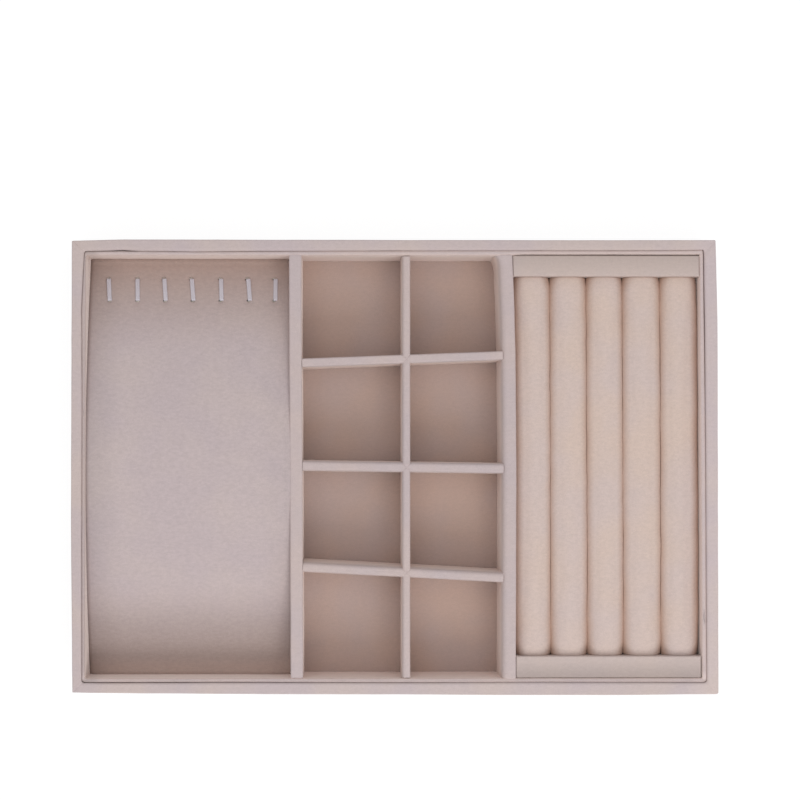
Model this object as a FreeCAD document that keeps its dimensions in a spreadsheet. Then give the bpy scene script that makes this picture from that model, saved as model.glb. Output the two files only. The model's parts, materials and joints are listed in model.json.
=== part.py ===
import FreeCAD
import Part
import Sketcher
import math
import os
import re

# Velvet-lined jewelry tray in millimetres: an arched necklace panel with elastic loops on the
# left, a lift-out grid of eight compartments in the middle and a lift-out ring cushion on the right.
# +X runs to the right, +Y to the rear (the end with the loops), +Z up.
# The origin is the middle of the underside.

Vector = FreeCAD.Vector
doc = FreeCAD.newDocument("JewelryTray")

LOOP_COUNT = 7
ROLL_COUNT = 5
NEAR = 0.001

# Driving dimensions: name, value, what it measures.
DIMENSIONS = (
    ("tray_length", 350, "outside, left to right"),
    ("tray_width", 246, "outside, front to rear"),
    ("tray_height", 45, "underside to rim"),
    ("wall_board", 5, "thickness of the four wall boards"),
    ("wrap_skin", 0.6, "thickness of the suede wrap on the walls"),
    ("wrap_turn_in", 14, "how far the wrap is turned down inside the wall"),
    ("rim_round", 1.3, "rounding of both rim edges"),
    ("corner_round", 1.6, "rounding of the upright outside corners"),
    ("felt_thick", 1, "felt sheet under the base"),
    ("felt_inset", 1.5, "felt edge to outside of tray"),
    ("base_thick", 3, "base board"),
    ("liner_gap", 0.2, "open joint between rim and liner"),
    ("liner_drop", 0.8, "liner top below the rim"),
    ("liner_card", 1, "card inside the liner"),
    ("velvet_skin", 0.6, "thickness of the velvet on liner, dividers and panel"),
    ("liner_turn_over", 10, "velvet turned down behind the liner"),
    ("liner_round", 0.5, "rounding of the liner top"),
    ("pad_thick", 1.5, "velvet floor pads"),
    ("necklace_bay", 109.9, "clear width of the left bay"),
    ("ring_bay", 100.9, "clear width of the right bay"),
    ("main_divider", 6.8, "thickness of the two full-length dividers"),
    ("main_divider_drop", 0.9, "main divider top below the rim"),
    ("main_divider_round", 1.3, "rounding of the main divider tops"),
    ("column_offset", 1.85, "column divider right of the middle of its bay"),
    ("grid_divider", 4.1, "thickness of the grid dividers"),
    ("grid_drop", 1.1, "grid top below the rim"),
    ("grid_round", 1.1, "rounding of the grid divider tops"),
    ("grid_fit", 0.3, "clearance round the grid"),
    ("lap_fit", 0.15, "clearance inside the half-lap joints"),
    ("rear_row_offset", 1.35, "rear row divider behind its even spacing"),
    ("rear_row_skew", 4.1, "rise of the rear row divider across the bay"),
    ("middle_row_offset", -0.25, "middle row divider behind its even spacing"),
    ("middle_row_skew", -1.5, "rise of the middle row divider across the bay"),
    ("front_row_offset", 0.05, "front row divider behind its even spacing"),
    ("front_row_skew", -5.8, "rise of the front row divider across the bay"),
    ("arch_drop", 2, "crown of the necklace panel below the rim"),
    ("arch_rise", 24, "crown of the necklace panel above its ends"),
    ("panel_fit", 0.3, "clearance round the necklace panel"),
    ("panel_card", 1.5, "curved card under the panel velvet"),
    ("rib_thick", 6, "arched ribs that carry the panel"),
    ("loop_inset", 17, "rear end of the panel to the middle of the loops"),
    ("loop_margin", 8.6, "panel edge to the outer loops"),
    ("loop_span", 12.2, "length of a loop between its holes"),
    ("loop_width", 2.3, "width of the elastic"),
    ("loop_thick", 0.8, "thickness of the elastic"),
    ("loop_fit", 0.2, "clearance of the elastic in its holes"),
    ("loop_lift", 0.1, "slack under the elastic"),
    ("loop_foot", 3, "glued foot of the elastic under the card"),
    ("insert_fit", 0.5, "clearance round the ring cushion"),
    ("insert_base", 2, "board under the ring cushion"),
    ("bar_depth", 11.4, "end bars, front to rear"),
    ("bar_drop", 1.2, "end bar tops below the rim"),
    ("bar_round", 1.2, "rounding of the end bar tops"),
    ("roll_height", 23, "ring rolls, base to crown"),
    ("roll_drop", 2.7, "roll crowns below the end bars"),
    ("roll_gap", 0.3, "between neighbouring rolls"),
    ("roll_skin", 0.7, "velvet on the rolls"),
    ("roll_shoulder", 6, "rounding of the roll shoulders"),
    ("roll_crown", 24, "radius of the roll crowns"),
    ("roll_end_round", 4, "drawn-in roll ends"),
    ("roll_end_gap", 0.3, "between rolls and end bars"),
)

# Values that follow from the driving dimensions: name, formula.
LAYOUT = (
    ("rim_width", "wall_board + 2 * wrap_skin"),
    ("floor_level", "felt_thick + base_thick"),
    ("wall_height", "tray_height - felt_thick"),
    ("liner_wall", "liner_card + 2 * velvet_skin"),
    ("liner_offset", "rim_width + liner_gap"),
    ("liner_height", "tray_height - liner_drop - floor_level"),
    ("bay_half_length", "tray_length / 2 - liner_offset - liner_wall"),
    ("bay_half_width", "tray_width / 2 - liner_offset - liner_wall"),
    ("pad_level", "floor_level + pad_thick"),
    ("left_divider_left", "necklace_bay - bay_half_length"),
    ("left_divider_right", "left_divider_left + main_divider"),
    ("right_divider_right", "bay_half_length - ring_bay"),
    ("right_divider_left", "right_divider_right - main_divider"),
    ("main_divider_height", "tray_height - main_divider_drop - floor_level"),
    ("middle_bay", "right_divider_left - left_divider_right"),
    ("bay_middle", "left_divider_right + middle_bay / 2"),
    ("grid_height", "tray_height - grid_drop - pad_level"),
    ("column_left", "bay_middle + column_offset - grid_divider / 2"),
    ("column_right", "column_left + grid_divider"),
    ("rear_row_place", "bay_half_width / 2 + rear_row_offset"),
    ("middle_row_place", "middle_row_offset"),
    ("front_row_place", "front_row_offset - bay_half_width / 2"),
    ("column_half", "bay_half_width - grid_fit"),
    ("row_left", "left_divider_right + grid_fit"),
    ("row_right", "right_divider_left - grid_fit"),
    ("panel_width", "necklace_bay - 2 * panel_fit"),
    ("panel_left", "panel_fit - bay_half_length"),
    ("panel_half", "bay_half_width - panel_fit"),
    ("panel_sheet", "panel_card + velvet_skin"),
    ("arch_radius", "(panel_half ^ 2 + arch_rise ^ 2) / (2 * arch_rise)"),
    ("arch_centre", "tray_height - arch_drop - arch_radius"),
    ("loop_pitch", f"(panel_width - 2 * loop_margin) / {LOOP_COUNT - 1}"),
    ("loop_slope", "asin((panel_half - loop_inset) / arch_radius)"),
    ("hole_middle", "(arch_radius - panel_sheet / 2) * sin(loop_slope)"),
    ("hole_reach", "(loop_span - loop_thick) / 2 * cos(loop_slope)"),
    ("hole_half", "(panel_sheet * sin(loop_slope) + loop_thick * cos(loop_slope)) / 2 + loop_fit"),
    ("insert_left", "right_divider_right + insert_fit"),
    ("insert_width", "ring_bay - 2 * insert_fit"),
    ("insert_half", "bay_half_width - insert_fit"),
    ("bar_level", "pad_level + insert_base"),
    ("bar_height", "tray_height - bar_drop - bar_level"),
    ("bar_inside", "insert_half - bar_depth"),
    ("roll_level", "bar_level + bar_height - roll_drop - roll_height"),
    ("roll_pitch", f"insert_width / {ROLL_COUNT}"),
    ("roll_width", "roll_pitch - roll_gap"),
    ("roll_length", "2 * (bar_inside - roll_end_gap)"),
    ("crown_drop", "sqrt((roll_crown - roll_shoulder) ^ 2 - (roll_width / 2 - roll_shoulder) ^ 2)"),
    ("roll_side", "roll_height - roll_crown + crown_drop"),
)

paths = {}
pieces = []


def full(expression):
    """The expression with each size's name replaced by its place in the sheets."""
    return re.sub(r"[a-z_]+", lambda word: paths.get(word[0], word[0]), expression)


def write_sheet(name, rows):
    """A spreadsheet with one named value in each row: name, content, note."""
    sheet = doc.addObject("Spreadsheet::Sheet", name)
    for number, (alias, content, note) in enumerate(rows, start=1):
        sheet.set(f"A{number}", note)
        sheet.set(f"B{number}", content)
        sheet.setAlias(f"B{number}", alias)
        paths[alias] = f"{name}.{alias}"
    doc.recompute()
    return sheet


dimensions = write_sheet("Dimensions", [(name, str(value), note) for name, value, note in DIMENSIONS])
paths.update((name, f"Layout.{name}") for name, formula in LAYOUT)
layout = write_sheet("Layout", [(name, "=" + full(formula), formula) for name, formula in LAYOUT])


def value_of(expression):
    """The present value of an expression, as a plain number."""
    found = layout.evalExpression(full(expression))
    return getattr(found, "Value", found)


def bind(target, path, expression):
    target.setExpression(path, full(expression))


def keep(piece, label):
    """Marks a finished object as one piece of the tray."""
    piece.Label = label
    pieces.append(piece)
    return piece


def place(piece, x="0", y="0", z="0"):
    for axis, expression in zip("xyz", (x, y, z)):
        bind(piece, f"Placement.Base.{axis}", expression)


# Sketches and features that the pieces share.

def board(label, x, y, z):
    """A flat board between two expressions along each axis."""
    box = doc.addObject("Part::Box", label)
    for size, (low, high) in zip(("Length", "Width", "Height"), (x, y, z)):
        bind(box, size, f"({high}) - ({low})")
    place(box, x[0], y[0], z[0])
    return keep(box, label)


def new_body(name):
    return doc.addObject("PartDesign::Body", name)


def new_sketch(body, name, role="XY_Plane", level="0"):
    """A sketch on one of the body's own origin planes, lifted to a level."""
    sketch = body.newObject("Sketcher::SketchObject", f"{body.Name}_{name}")
    plane = next(feature for feature in body.Origin.OriginFeatures if feature.Role == role)
    sketch.AttachmentSupport = (plane, [""])
    sketch.MapMode = "FlatFace"
    bind(sketch, "AttachmentOffset.Base.z", level)
    return sketch


def hold(sketch, kind, geometry, point, expression):
    """Ties the X or Y of one sketch point to an expression."""
    constraint = Sketcher.Constraint(kind, -1, 1, geometry, point, value_of(expression))
    bind(sketch, f"Constraints[{sketch.addConstraint(constraint)}]", expression)


def hold_point(sketch, geometry, point, x, y):
    hold(sketch, "DistanceX", geometry, point, x)
    hold(sketch, "DistanceY", geometry, point, y)


def hold_radius(sketch, arc, expression):
    constraint = Sketcher.Constraint("Radius", arc, value_of(expression))
    bind(sketch, f"Constraints[{sketch.addConstraint(constraint)}]", expression)


def add_line(sketch, start, end):
    ends = [Vector(value_of(x), value_of(y), 0) for x, y in (start, end)]
    return sketch.addGeometry(Part.LineSegment(*ends), False)


def add_arc(sketch, centre, radius, start, end):
    """An arc given by expressions, with its ends as angles, counter-clockwise."""
    middle = Vector(value_of(centre[0]), value_of(centre[1]), 0)
    circle = Part.Circle(middle, Vector(0, 0, 1), value_of(radius))
    turns = [math.radians(value_of(angle)) for angle in (start, end)]
    return sketch.addGeometry(Part.ArcOfCircle(circle, *turns), False)


def join(sketch, kind, first, second):
    """Joins the end of one edge to the start of the next."""
    sketch.addConstraint(Sketcher.Constraint(kind, first, 2, second, 1))


def draw_outline(sketch, corners):
    """A closed outline of straight edges through corners given as expressions."""
    edges = [add_line(sketch, start, end) for start, end in zip(corners, corners[1:] + corners[:1])]
    for edge, following in zip(edges, edges[1:] + edges[:1]):
        join(sketch, "Coincident", edge, following)
    for edge, (x, y) in zip(edges, corners):
        hold_point(sketch, edge, 1, x, y)


def rectangle(x, y):
    return [(x[0], y[0]), (x[1], y[0]), (x[1], y[1]), (x[0], y[1])]


def centred(half):
    return (f"-({half})", half)


def pad(body, sketch, length, side="One side"):
    feature = body.newObject("PartDesign::Pad", f"{sketch.Name}_pad")
    feature.Profile = sketch
    feature.SideType = side
    bind(feature, "Length", length)
    doc.recompute()
    return feature


def pocket(body, sketch, depth=None, upward=False):
    """A pocket cut down from its sketch, or upward, to a depth or right through."""
    before = body.Shape.Volume
    feature = body.newObject("PartDesign::Pocket", f"{sketch.Name}_pocket")
    feature.Profile = sketch
    feature.Reversed = upward
    if depth is None:
        feature.Type = "ThroughAll"
    else:
        bind(feature, "Length", depth)
    doc.recompute()
    if body.Shape.Volume >= before:
        raise RuntimeError(f"{feature.Name} cuts nothing")
    return feature


def shape_edges(kind, size_name, body, base, size, test):
    """A fillet or chamfer on the edges of a feature that pass a test."""
    feature = body.newObject(f"PartDesign::{kind}", f"{base.Name}_{kind.lower()}")
    names = [f"Edge{number}" for number, edge in enumerate(base.Shape.Edges, start=1) if test(edge)]
    feature.Base = (base, names)
    bind(feature, size_name, size)
    doc.recompute()
    return feature


def round_edges(body, base, radius, test):
    return shape_edges("Fillet", "Radius", body, base, radius, test)


def level_at(height):
    """A test for edges that lie flat at a height above the body's own origin."""
    level = value_of(height)
    return lambda edge: max(abs(edge.BoundBox.ZMin - level), abs(edge.BoundBox.ZMax - level)) < NEAR


def upright(edge):
    return edge.BoundBox.ZLength > max(edge.BoundBox.XLength, edge.BoundBox.YLength)


def across(edge):
    return edge.BoundBox.YLength < NEAR


def longer_than(expression):
    limit = value_of(expression)
    return lambda edge: edge.Length > limit


def both(*tests):
    return lambda edge: all(test(edge) for test in tests)


# Tray shell: base, walls and the suede wrap.

def frame_skin(label, half_length, half_width, wall, skin, height, level, short_depth, short_side, rounding):
    """A wrap over a closed frame of boards: a full face, the top and a short turned-down flap."""
    upright_round, top_round = rounding
    body = new_body(label)
    outside = new_sketch(body, "outside")
    draw_outline(outside, rectangle(centred(half_length), centred(half_width)))
    block = pad(body, outside, height)
    block = round_edges(body, block, upright_round, upright)
    opening = new_sketch(body, "opening")
    draw_outline(opening, rectangle(centred(f"{half_length} - {wall}"), centred(f"{half_width} - {wall}")))
    block = pocket(body, opening, upward=True)
    round_edges(body, block, top_round, level_at(height))
    far_skin = f"{wall} - {skin}"
    cuts = (("boards", skin, far_skin, f"{height} - {skin}"),)
    if short_side == "inside":
        cuts += (("flap", far_skin, wall, f"{height} - {short_depth}"),)
    else:
        cuts += (("flap", "0", skin, f"{height} - {short_depth}"),)
    for name, outer, inner, depth in cuts:
        ring = new_sketch(body, name)
        for inset in (outer, inner):
            reach = (f"{half_length} - ({inset})", f"{half_width} - ({inset})")
            draw_outline(ring, rectangle(centred(reach[0]), centred(reach[1])))
        pocket(body, ring, depth, upward=True)
    place(body, z=level)
    return keep(body, label)


def make_shell():
    felt = ("tray_length / 2 - felt_inset", "tray_width / 2 - felt_inset")
    board("base_felt", centred(felt[0]), centred(felt[1]), ("0", "felt_thick"))
    inside = ("tray_length / 2 - wrap_skin - wall_board", "tray_width / 2 - wrap_skin - wall_board")
    board("base_board", centred(inside[0]), centred(inside[1]), ("felt_thick", "floor_level"))
    upright_span = ("felt_thick", "tray_height - wrap_skin")
    long_span = centred("tray_length / 2 - wrap_skin")
    board("wall_board_front", long_span, ("wrap_skin - tray_width / 2", f"-({inside[1]})"), upright_span)
    board("wall_board_rear", long_span, (inside[1], "tray_width / 2 - wrap_skin"), upright_span)
    side_span = centred(inside[1])
    board("wall_board_left", ("wrap_skin - tray_length / 2", f"-({inside[0]})"), side_span, upright_span)
    board("wall_board_right", (inside[0], "tray_length / 2 - wrap_skin"), side_span, upright_span)
    frame_skin("outer_wrap", "tray_length / 2", "tray_width / 2", "rim_width", "wrap_skin", "wall_height",
               "felt_thick", "wrap_turn_in", "inside", ("corner_round", "rim_round"))


# Velvet liner that stands inside the rim, and the floor pads.

def make_liner():
    half_length = "tray_length / 2 - liner_offset"
    half_width = "tray_width / 2 - liner_offset"
    outer = (f"{half_length} - velvet_skin", f"{half_width} - velvet_skin")
    inner = (f"{outer[0]} - liner_card", f"{outer[1]} - liner_card")
    span = ("floor_level", "floor_level + liner_height - velvet_skin")
    board("liner_card_front", centred(outer[0]), (f"-({outer[1]})", f"-({inner[1]})"), span)
    board("liner_card_rear", centred(outer[0]), (inner[1], outer[1]), span)
    board("liner_card_left", (f"-({outer[0]})", f"-({inner[0]})"), centred(inner[1]), span)
    board("liner_card_right", (inner[0], outer[0]), centred(inner[1]), span)
    frame_skin("liner_velvet", half_length, half_width, "liner_wall", "velvet_skin", "liner_height",
               "floor_level", "liner_turn_over", "outside", ("corner_round", "liner_round"))
    pad_span = ("floor_level", "pad_level")
    whole_width = centred("bay_half_width")
    board("middle_floor_pad", ("left_divider_right", "right_divider_left"), whole_width, pad_span)
    board("ring_floor_pad", ("right_divider_right", "bay_half_length"), whole_width, pad_span)


# Dividers: a stiff core under a skin of velvet that is folded over its top.

def folded_skin(label, outside, core, height, level, rounding, longest):
    """A skin over a core, open below: both plans as corners, and the top edges rounded."""
    body = new_body(label)
    plan = new_sketch(body, "plan")
    draw_outline(plan, outside)
    block = pad(body, plan, height)
    round_edges(body, block, rounding, both(level_at(height), longer_than(longest)))
    hollow = new_sketch(body, "hollow")
    draw_outline(hollow, core)
    pocket(body, hollow, f"{height} - velvet_skin", upward=True)
    place(body, z=level)
    return keep(body, label)


def stiff_core(label, plan, height, level):
    body = new_body(label)
    sketch = new_sketch(body, "plan")
    draw_outline(sketch, plan)
    pad(body, sketch, f"{height} - velvet_skin")
    place(body, z=level)
    return keep(body, label)


def make_main_dividers():
    for side in ("left", "right"):
        left, right = f"{side}_divider_left", f"{side}_divider_right"
        core = (f"{left} + velvet_skin", f"{right} - velvet_skin")
        span = ("floor_level", "floor_level + main_divider_height - velvet_skin")
        board(f"main_divider_core_{side}", core, centred("bay_half_width"), span)
        folded_skin(f"main_divider_velvet_{side}", rectangle((left, right), centred("bay_half_width")),
                    rectangle(core, centred("bay_half_width")), "main_divider_height", "floor_level",
                    "main_divider_round", "main_divider * 2")


def row_line(row, x):
    """Where the middle line of a row divider lies at a given X."""
    return f"{row}_row_place + {row}_row_skew * ({x} - bay_middle) / middle_bay"


def row_plan(row, left, right, half):
    """The slanted plan of a row divider between two X places."""
    return [(left, f"{row_line(row, left)} - ({half})"), (right, f"{row_line(row, right)} - ({half})"),
            (right, f"{row_line(row, right)} + ({half})"), (left, f"{row_line(row, left)} + ({half})")]


def make_grid():
    rows = ("rear", "middle", "front")
    lap = "grid_height / 2"
    core_half = "grid_divider / 2 - velvet_skin"
    column = ("column_left", "column_right")
    column_core = ("column_left + velvet_skin", "column_right - velvet_skin")
    ends = centred("column_half")
    column_pieces = (
        stiff_core("column_divider_card", rectangle(column_core, ends), "grid_height", "pad_level"),
        folded_skin("column_divider_velvet", rectangle(column, ends), rectangle(column_core, ends),
                    "grid_height", "pad_level", "grid_round", "grid_divider * 2"))
    for body in column_pieces:
        slots = new_sketch(body, "slots", level="grid_height")
        for row in rows:
            half = "grid_divider / 2 + lap_fit"
            draw_outline(slots, row_plan(row, "column_left - lap_fit", "column_right + lap_fit", half))
        pocket(body, slots, lap)
    for row in rows:
        plan = row_plan(row, "row_left", "row_right", "grid_divider / 2")
        core = row_plan(row, "row_left", "row_right", core_half)
        row_pieces = (
            stiff_core(f"row_divider_card_{row}", core, "grid_height", "pad_level"),
            folded_skin(f"row_divider_velvet_{row}", plan, core, "grid_height", "pad_level", "grid_round",
                        "grid_divider * 2"))
        for body in row_pieces:
            slot = new_sketch(body, "slot")
            side = "grid_divider + lap_fit"
            line = row_line(row, "(column_left + column_right) / 2")
            draw_outline(slot, rectangle(("column_left - lap_fit", "column_right + lap_fit"),
                                         (f"{line} - ({side})", f"{line} + ({side})")))
            pocket(body, slot, f"{lap} + lap_fit", upward=True)


# Necklace panel: velvet on a curved card, carried by arched ribs, with elastic loops at the rear.

def draw_arch(sketch, radius):
    """An arc about the sketch's origin, as wide as the panel, drawn from its rear end."""
    slope = f"acos(panel_half / ({radius}))"
    arc = add_arc(sketch, ("0", "0"), radius, slope, f"180 deg - {slope}")
    sketch.addConstraint(Sketcher.Constraint("Coincident", arc, 3, -1, 1))
    hold_radius(sketch, arc, radius)
    hold(sketch, "DistanceX", arc, 1, "panel_half")
    hold(sketch, "DistanceX", arc, 2, "-panel_half")
    return arc


def arched_sheet(label, radius, thick):
    """A curved sheet whose upper face has the given radius, with holes for the loops."""
    body = new_body(label)
    sketch = new_sketch(body, "section", "YZ_Plane")
    upper = draw_arch(sketch, radius)
    lower = draw_arch(sketch, f"{radius} - {thick}")
    for point in (1, 2):
        ends = [sketch.getPoint(arc, point) for arc in (upper, lower)]
        edge = sketch.addGeometry(Part.LineSegment(*ends), False)
        for end, arc in enumerate((upper, lower), start=1):
            sketch.addConstraint(Sketcher.Constraint("Coincident", edge, end, arc, point))
    pad(body, sketch, "panel_width", "Symmetric")
    holes = new_sketch(body, "holes")
    first = "loop_margin - panel_width / 2"
    half_hole = "loop_width / 2 + loop_fit"
    for side in ("+", "-"):
        middle = f"hole_middle {side} hole_reach"
        draw_outline(holes, rectangle((f"{first} - ({half_hole})", f"{first} + {half_hole}"),
                                      (f"{middle} - hole_half", f"{middle} + hole_half")))
    cut = pocket(body, holes, upward=True)
    row = body.newObject("PartDesign::LinearPattern", f"{label}_row")
    row.Originals = [cut]
    along = next(feature for feature in body.Origin.OriginFeatures if feature.Role == "X_Axis")
    row.Direction = (along, [""])
    row.Occurrences = LOOP_COUNT
    bind(row, "Length", "panel_width - 2 * loop_margin")
    body.Tip = row
    place(body, x="panel_left + panel_width / 2", z="arch_centre")
    return keep(body, label)


def make_rib(label, left):
    """An arched rib that stands on the base board."""
    body = new_body(label)
    sketch = new_sketch(body, "side", "YZ_Plane")
    arc = draw_arch(sketch, "arch_radius - panel_sheet")
    top = [sketch.getPoint(arc, point) for point in (1, 2)]
    foot = "floor_level - arch_centre"
    foot_level = value_of(foot)
    feet = [Vector(point.x, foot_level, 0) for point in top]
    edges = [sketch.addGeometry(Part.LineSegment(*ends), False)
             for ends in ((top[1], feet[1]), (feet[1], feet[0]), (feet[0], top[0]))]
    for first, second in zip([arc] + edges, edges + [arc]):
        join(sketch, "Coincident", first, second)
    hold_point(sketch, edges[1], 1, "-panel_half", foot)
    hold_point(sketch, edges[1], 2, "panel_half", foot)
    pad(body, sketch, "rib_thick")
    place(body, x=left, z="arch_centre")
    return keep(body, label)


def make_loop(number):
    """A flat elastic loop: a strap, two legs through the panel and two feet glued below."""
    label = f"necklace_loop_{number + 1}"
    body = new_body(label)
    sketch = new_sketch(body, "side", "YZ_Plane")
    reach, top, low = "loop_span / 2", "loop_lift + loop_thick", "-(panel_sheet + loop_lift)"
    sole = f"{low} - loop_thick"
    rear_half = [(reach, top), (reach, sole), (f"{reach} - loop_foot", sole), (f"{reach} - loop_foot", low),
                 (f"{reach} - loop_thick", low), (f"{reach} - loop_thick", "loop_lift")]
    front_half = [(f"-({y})", z) for y, z in reversed(rear_half)]
    draw_outline(sketch, rear_half + front_half)
    strap = pad(body, sketch, "loop_width", "Symmetric")
    round_edges(body, strap, "loop_thick", both(level_at(top), across))
    spin = FreeCAD.Rotation(Vector(-1, 0, 0), value_of("loop_slope"))
    body.Placement = FreeCAD.Placement(Vector(0, 0, 0), spin)
    bind(body, "Placement.Rotation.Angle", "loop_slope")
    place(body, x=f"panel_left + loop_margin + {number} * loop_pitch", y="arch_radius * sin(loop_slope)",
          z="arch_centre + arch_radius * cos(loop_slope)")
    return keep(body, label)


def make_necklace_panel():
    arched_sheet("necklace_panel_velvet", "arch_radius", "velvet_skin")
    arched_sheet("necklace_panel_card", "arch_radius - velvet_skin", "panel_card")
    make_rib("necklace_rib_left", "panel_left")
    make_rib("necklace_rib_middle", "panel_left + panel_width / 2 - loop_pitch / 2 - rib_thick / 2")
    make_rib("necklace_rib_right", "panel_left + panel_width - rib_thick")
    for number in range(LOOP_COUNT):
        make_loop(number)


# Ring cushion: two end bars and a row of velvet rolls on a foam riser and a board.

def roll_form(label, inset):
    """A roll with a crowned top and straight flanks, shrunk by an inset: its body and its pad."""
    half = f"(roll_width / 2 - {inset})"
    shoulder = f"(roll_shoulder - {inset})"
    crown = f"(roll_crown - {inset})"
    lean = "asin((roll_width / 2 - roll_shoulder) / (roll_crown - roll_shoulder))"
    body = new_body(label)
    sketch = new_sketch(body, "section", "XZ_Plane")
    base = add_line(sketch, (f"-{half}", "0"), (half, "0"))
    right = add_line(sketch, (half, "0"), (half, "roll_side"))
    right_arc = add_arc(sketch, (f"{half} - {shoulder}", "roll_side"), shoulder, "0 deg", f"90 deg - {lean}")
    top = add_arc(sketch, ("0", "roll_side - crown_drop"), crown, f"90 deg - {lean}", f"90 deg + {lean}")
    left_arc = add_arc(sketch, (f"{shoulder} - {half}", "roll_side"), shoulder, f"90 deg + {lean}", "180 deg")
    left = add_line(sketch, (f"-{half}", "roll_side"), (f"-{half}", "0"))
    for first, second in ((left, base), (base, right)):
        join(sketch, "Coincident", first, second)
    for first, second in ((right, right_arc), (right_arc, top), (top, left_arc), (left_arc, left)):
        join(sketch, "Tangent", first, second)
    hold_point(sketch, base, 1, f"-{half}", "0")
    hold_point(sketch, base, 2, half, "0")
    hold_point(sketch, right, 2, half, "roll_side")
    hold_point(sketch, left, 1, f"-{half}", "roll_side")
    hold_radius(sketch, right_arc, shoulder)
    hold_radius(sketch, top, crown)
    hold_radius(sketch, left_arc, shoulder)
    block = pad(body, sketch, f"roll_length - 2 * ({inset})", "Symmetric")
    return body, block


def end_edge(edge):
    """A test for the edges round a roll's ends, apart from those below it."""
    return across(edge) and edge.BoundBox.ZMax > NEAR


def make_ring_rolls():
    for number in range(ROLL_COUNT):
        middle = f"insert_left + roll_pitch / 2 + {number} * roll_pitch"
        foam, core = roll_form(f"ring_roll_foam_{number + 1}", "roll_skin")
        shape_edges("Chamfer", "Size", foam, core, "roll_end_round - roll_skin", end_edge)
        cover, block = roll_form(f"ring_roll_cover_{number + 1}", "0")
        round_edges(cover, block, "roll_end_round", end_edge)
        for body in (foam, cover):
            place(body, x=middle, z="roll_level")
        velvet = doc.addObject("Part::Cut", f"ring_roll_velvet_{number + 1}")
        velvet.Base = cover
        velvet.Tool = foam
        keep(foam, f"ring_roll_foam_{number + 1}")
        keep(velvet, f"ring_roll_velvet_{number + 1}")


def make_ring_insert():
    whole = ("insert_left", "insert_left + insert_width")
    board("ring_insert_base", whole, centred("insert_half"), ("pad_level", "bar_level"))
    board("ring_insert_riser", whole, centred("bar_inside"), ("bar_level", "roll_level"))
    core_across = ("insert_left + velvet_skin", "insert_left + insert_width - velvet_skin")
    core_height = ("bar_level", "bar_level + bar_height - velvet_skin")
    spans = {"front": ("-insert_half", "-bar_inside"), "rear": ("bar_inside", "insert_half")}
    for end, (front, rear) in spans.items():
        core_depth = (f"{front} + velvet_skin", f"{rear} - velvet_skin")
        board(f"ring_bar_core_{end}", core_across, core_depth, core_height)
        folded_skin(f"ring_bar_wrap_{end}", rectangle(whole, (front, rear)),
                    rectangle(core_across, core_depth), "bar_height", "bar_level", "bar_round", "bar_round")
    make_ring_rolls()


def check_pieces():
    """Stops before anything is written if an object failed or a piece is not one sound solid."""
    for item in doc.Objects:
        if {"Invalid", "Error"} & set(item.State):
            raise RuntimeError(f"{item.Label} failed: {item.State}")
    for piece in pieces:
        shape = piece.Shape
        if shape.isNull() or not shape.isValid() or len(shape.Solids) != 1:
            raise RuntimeError(f"{piece.Label} is not one sound solid")


make_shell()
make_liner()
make_main_dividers()
make_grid()
make_necklace_panel()
make_ring_insert()
doc.recompute()
check_pieces()
os.makedirs("parts", exist_ok=True)
for piece in pieces:
    piece.Shape.exportStep(f"parts/{piece.Label}.step")
print(f"{len(pieces)} pieces written")
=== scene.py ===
import json
import math

import bmesh
import bpy
import numpy as np
from mathutils import Matrix, Vector, geometry, noise


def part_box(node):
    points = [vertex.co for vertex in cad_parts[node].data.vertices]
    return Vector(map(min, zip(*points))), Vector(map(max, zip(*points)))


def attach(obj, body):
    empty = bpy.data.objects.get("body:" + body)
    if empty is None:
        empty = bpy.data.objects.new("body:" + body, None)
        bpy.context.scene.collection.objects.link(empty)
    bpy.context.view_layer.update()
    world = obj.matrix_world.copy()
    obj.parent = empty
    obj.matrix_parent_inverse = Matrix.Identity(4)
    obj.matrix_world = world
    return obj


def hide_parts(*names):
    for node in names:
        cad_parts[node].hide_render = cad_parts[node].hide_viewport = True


# Looks of a velvet-lined jewelry tray. Shapes are worked out in millimetres and become metres
# when their mesh is made. Camera, lamps and floor are in metres. +X runs to the right, +Y to the
# rear, +Z up.

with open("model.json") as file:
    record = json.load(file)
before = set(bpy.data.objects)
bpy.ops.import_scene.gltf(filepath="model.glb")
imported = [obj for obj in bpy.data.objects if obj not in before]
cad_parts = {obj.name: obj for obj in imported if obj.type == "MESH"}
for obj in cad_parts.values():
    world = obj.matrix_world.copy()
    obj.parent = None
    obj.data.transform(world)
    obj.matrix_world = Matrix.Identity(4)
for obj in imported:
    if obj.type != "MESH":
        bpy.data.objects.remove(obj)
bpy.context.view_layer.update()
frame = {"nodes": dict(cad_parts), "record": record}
nodes = frame["nodes"]

MM = 0.001
QUARTER = 90
NEAR = 1e-6
WHITE = (1, 1, 1, 1)
ROWS = ("rear", "middle", "front")
HANDS = ("left", "right")

# First seed of each noise. Frames and strips also use the next one, and rolls and grooves add their number.
SEEDS = {
    "wrap": 1, "liner": 3, "panel": 11, "front_bar": 21, "rear_bar": 22, "middle_pad": 23, "ring_pad": 24,
    "riser": 25, "lumps": 30, "creases": 40, "left_divider": 51, "right_divider": 53, "rear_row": 55,
    "middle_row": 57, "front_row": 59, "column": 61, "waves": 70, "jags": 80,
}


def box_of(node):
    """Lowest and highest corner of a CAD node, in millimetres."""
    low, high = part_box(node)
    return np.array(low) / MM, np.array(high) / MM


def add_object(name, data):
    made = bpy.data.objects.new(name, data)
    bpy.context.scene.collection.objects.link(made)
    return made


def set_inputs(node, values):
    for key, value in values.items():
        node.inputs[key].default_value = value


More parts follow.
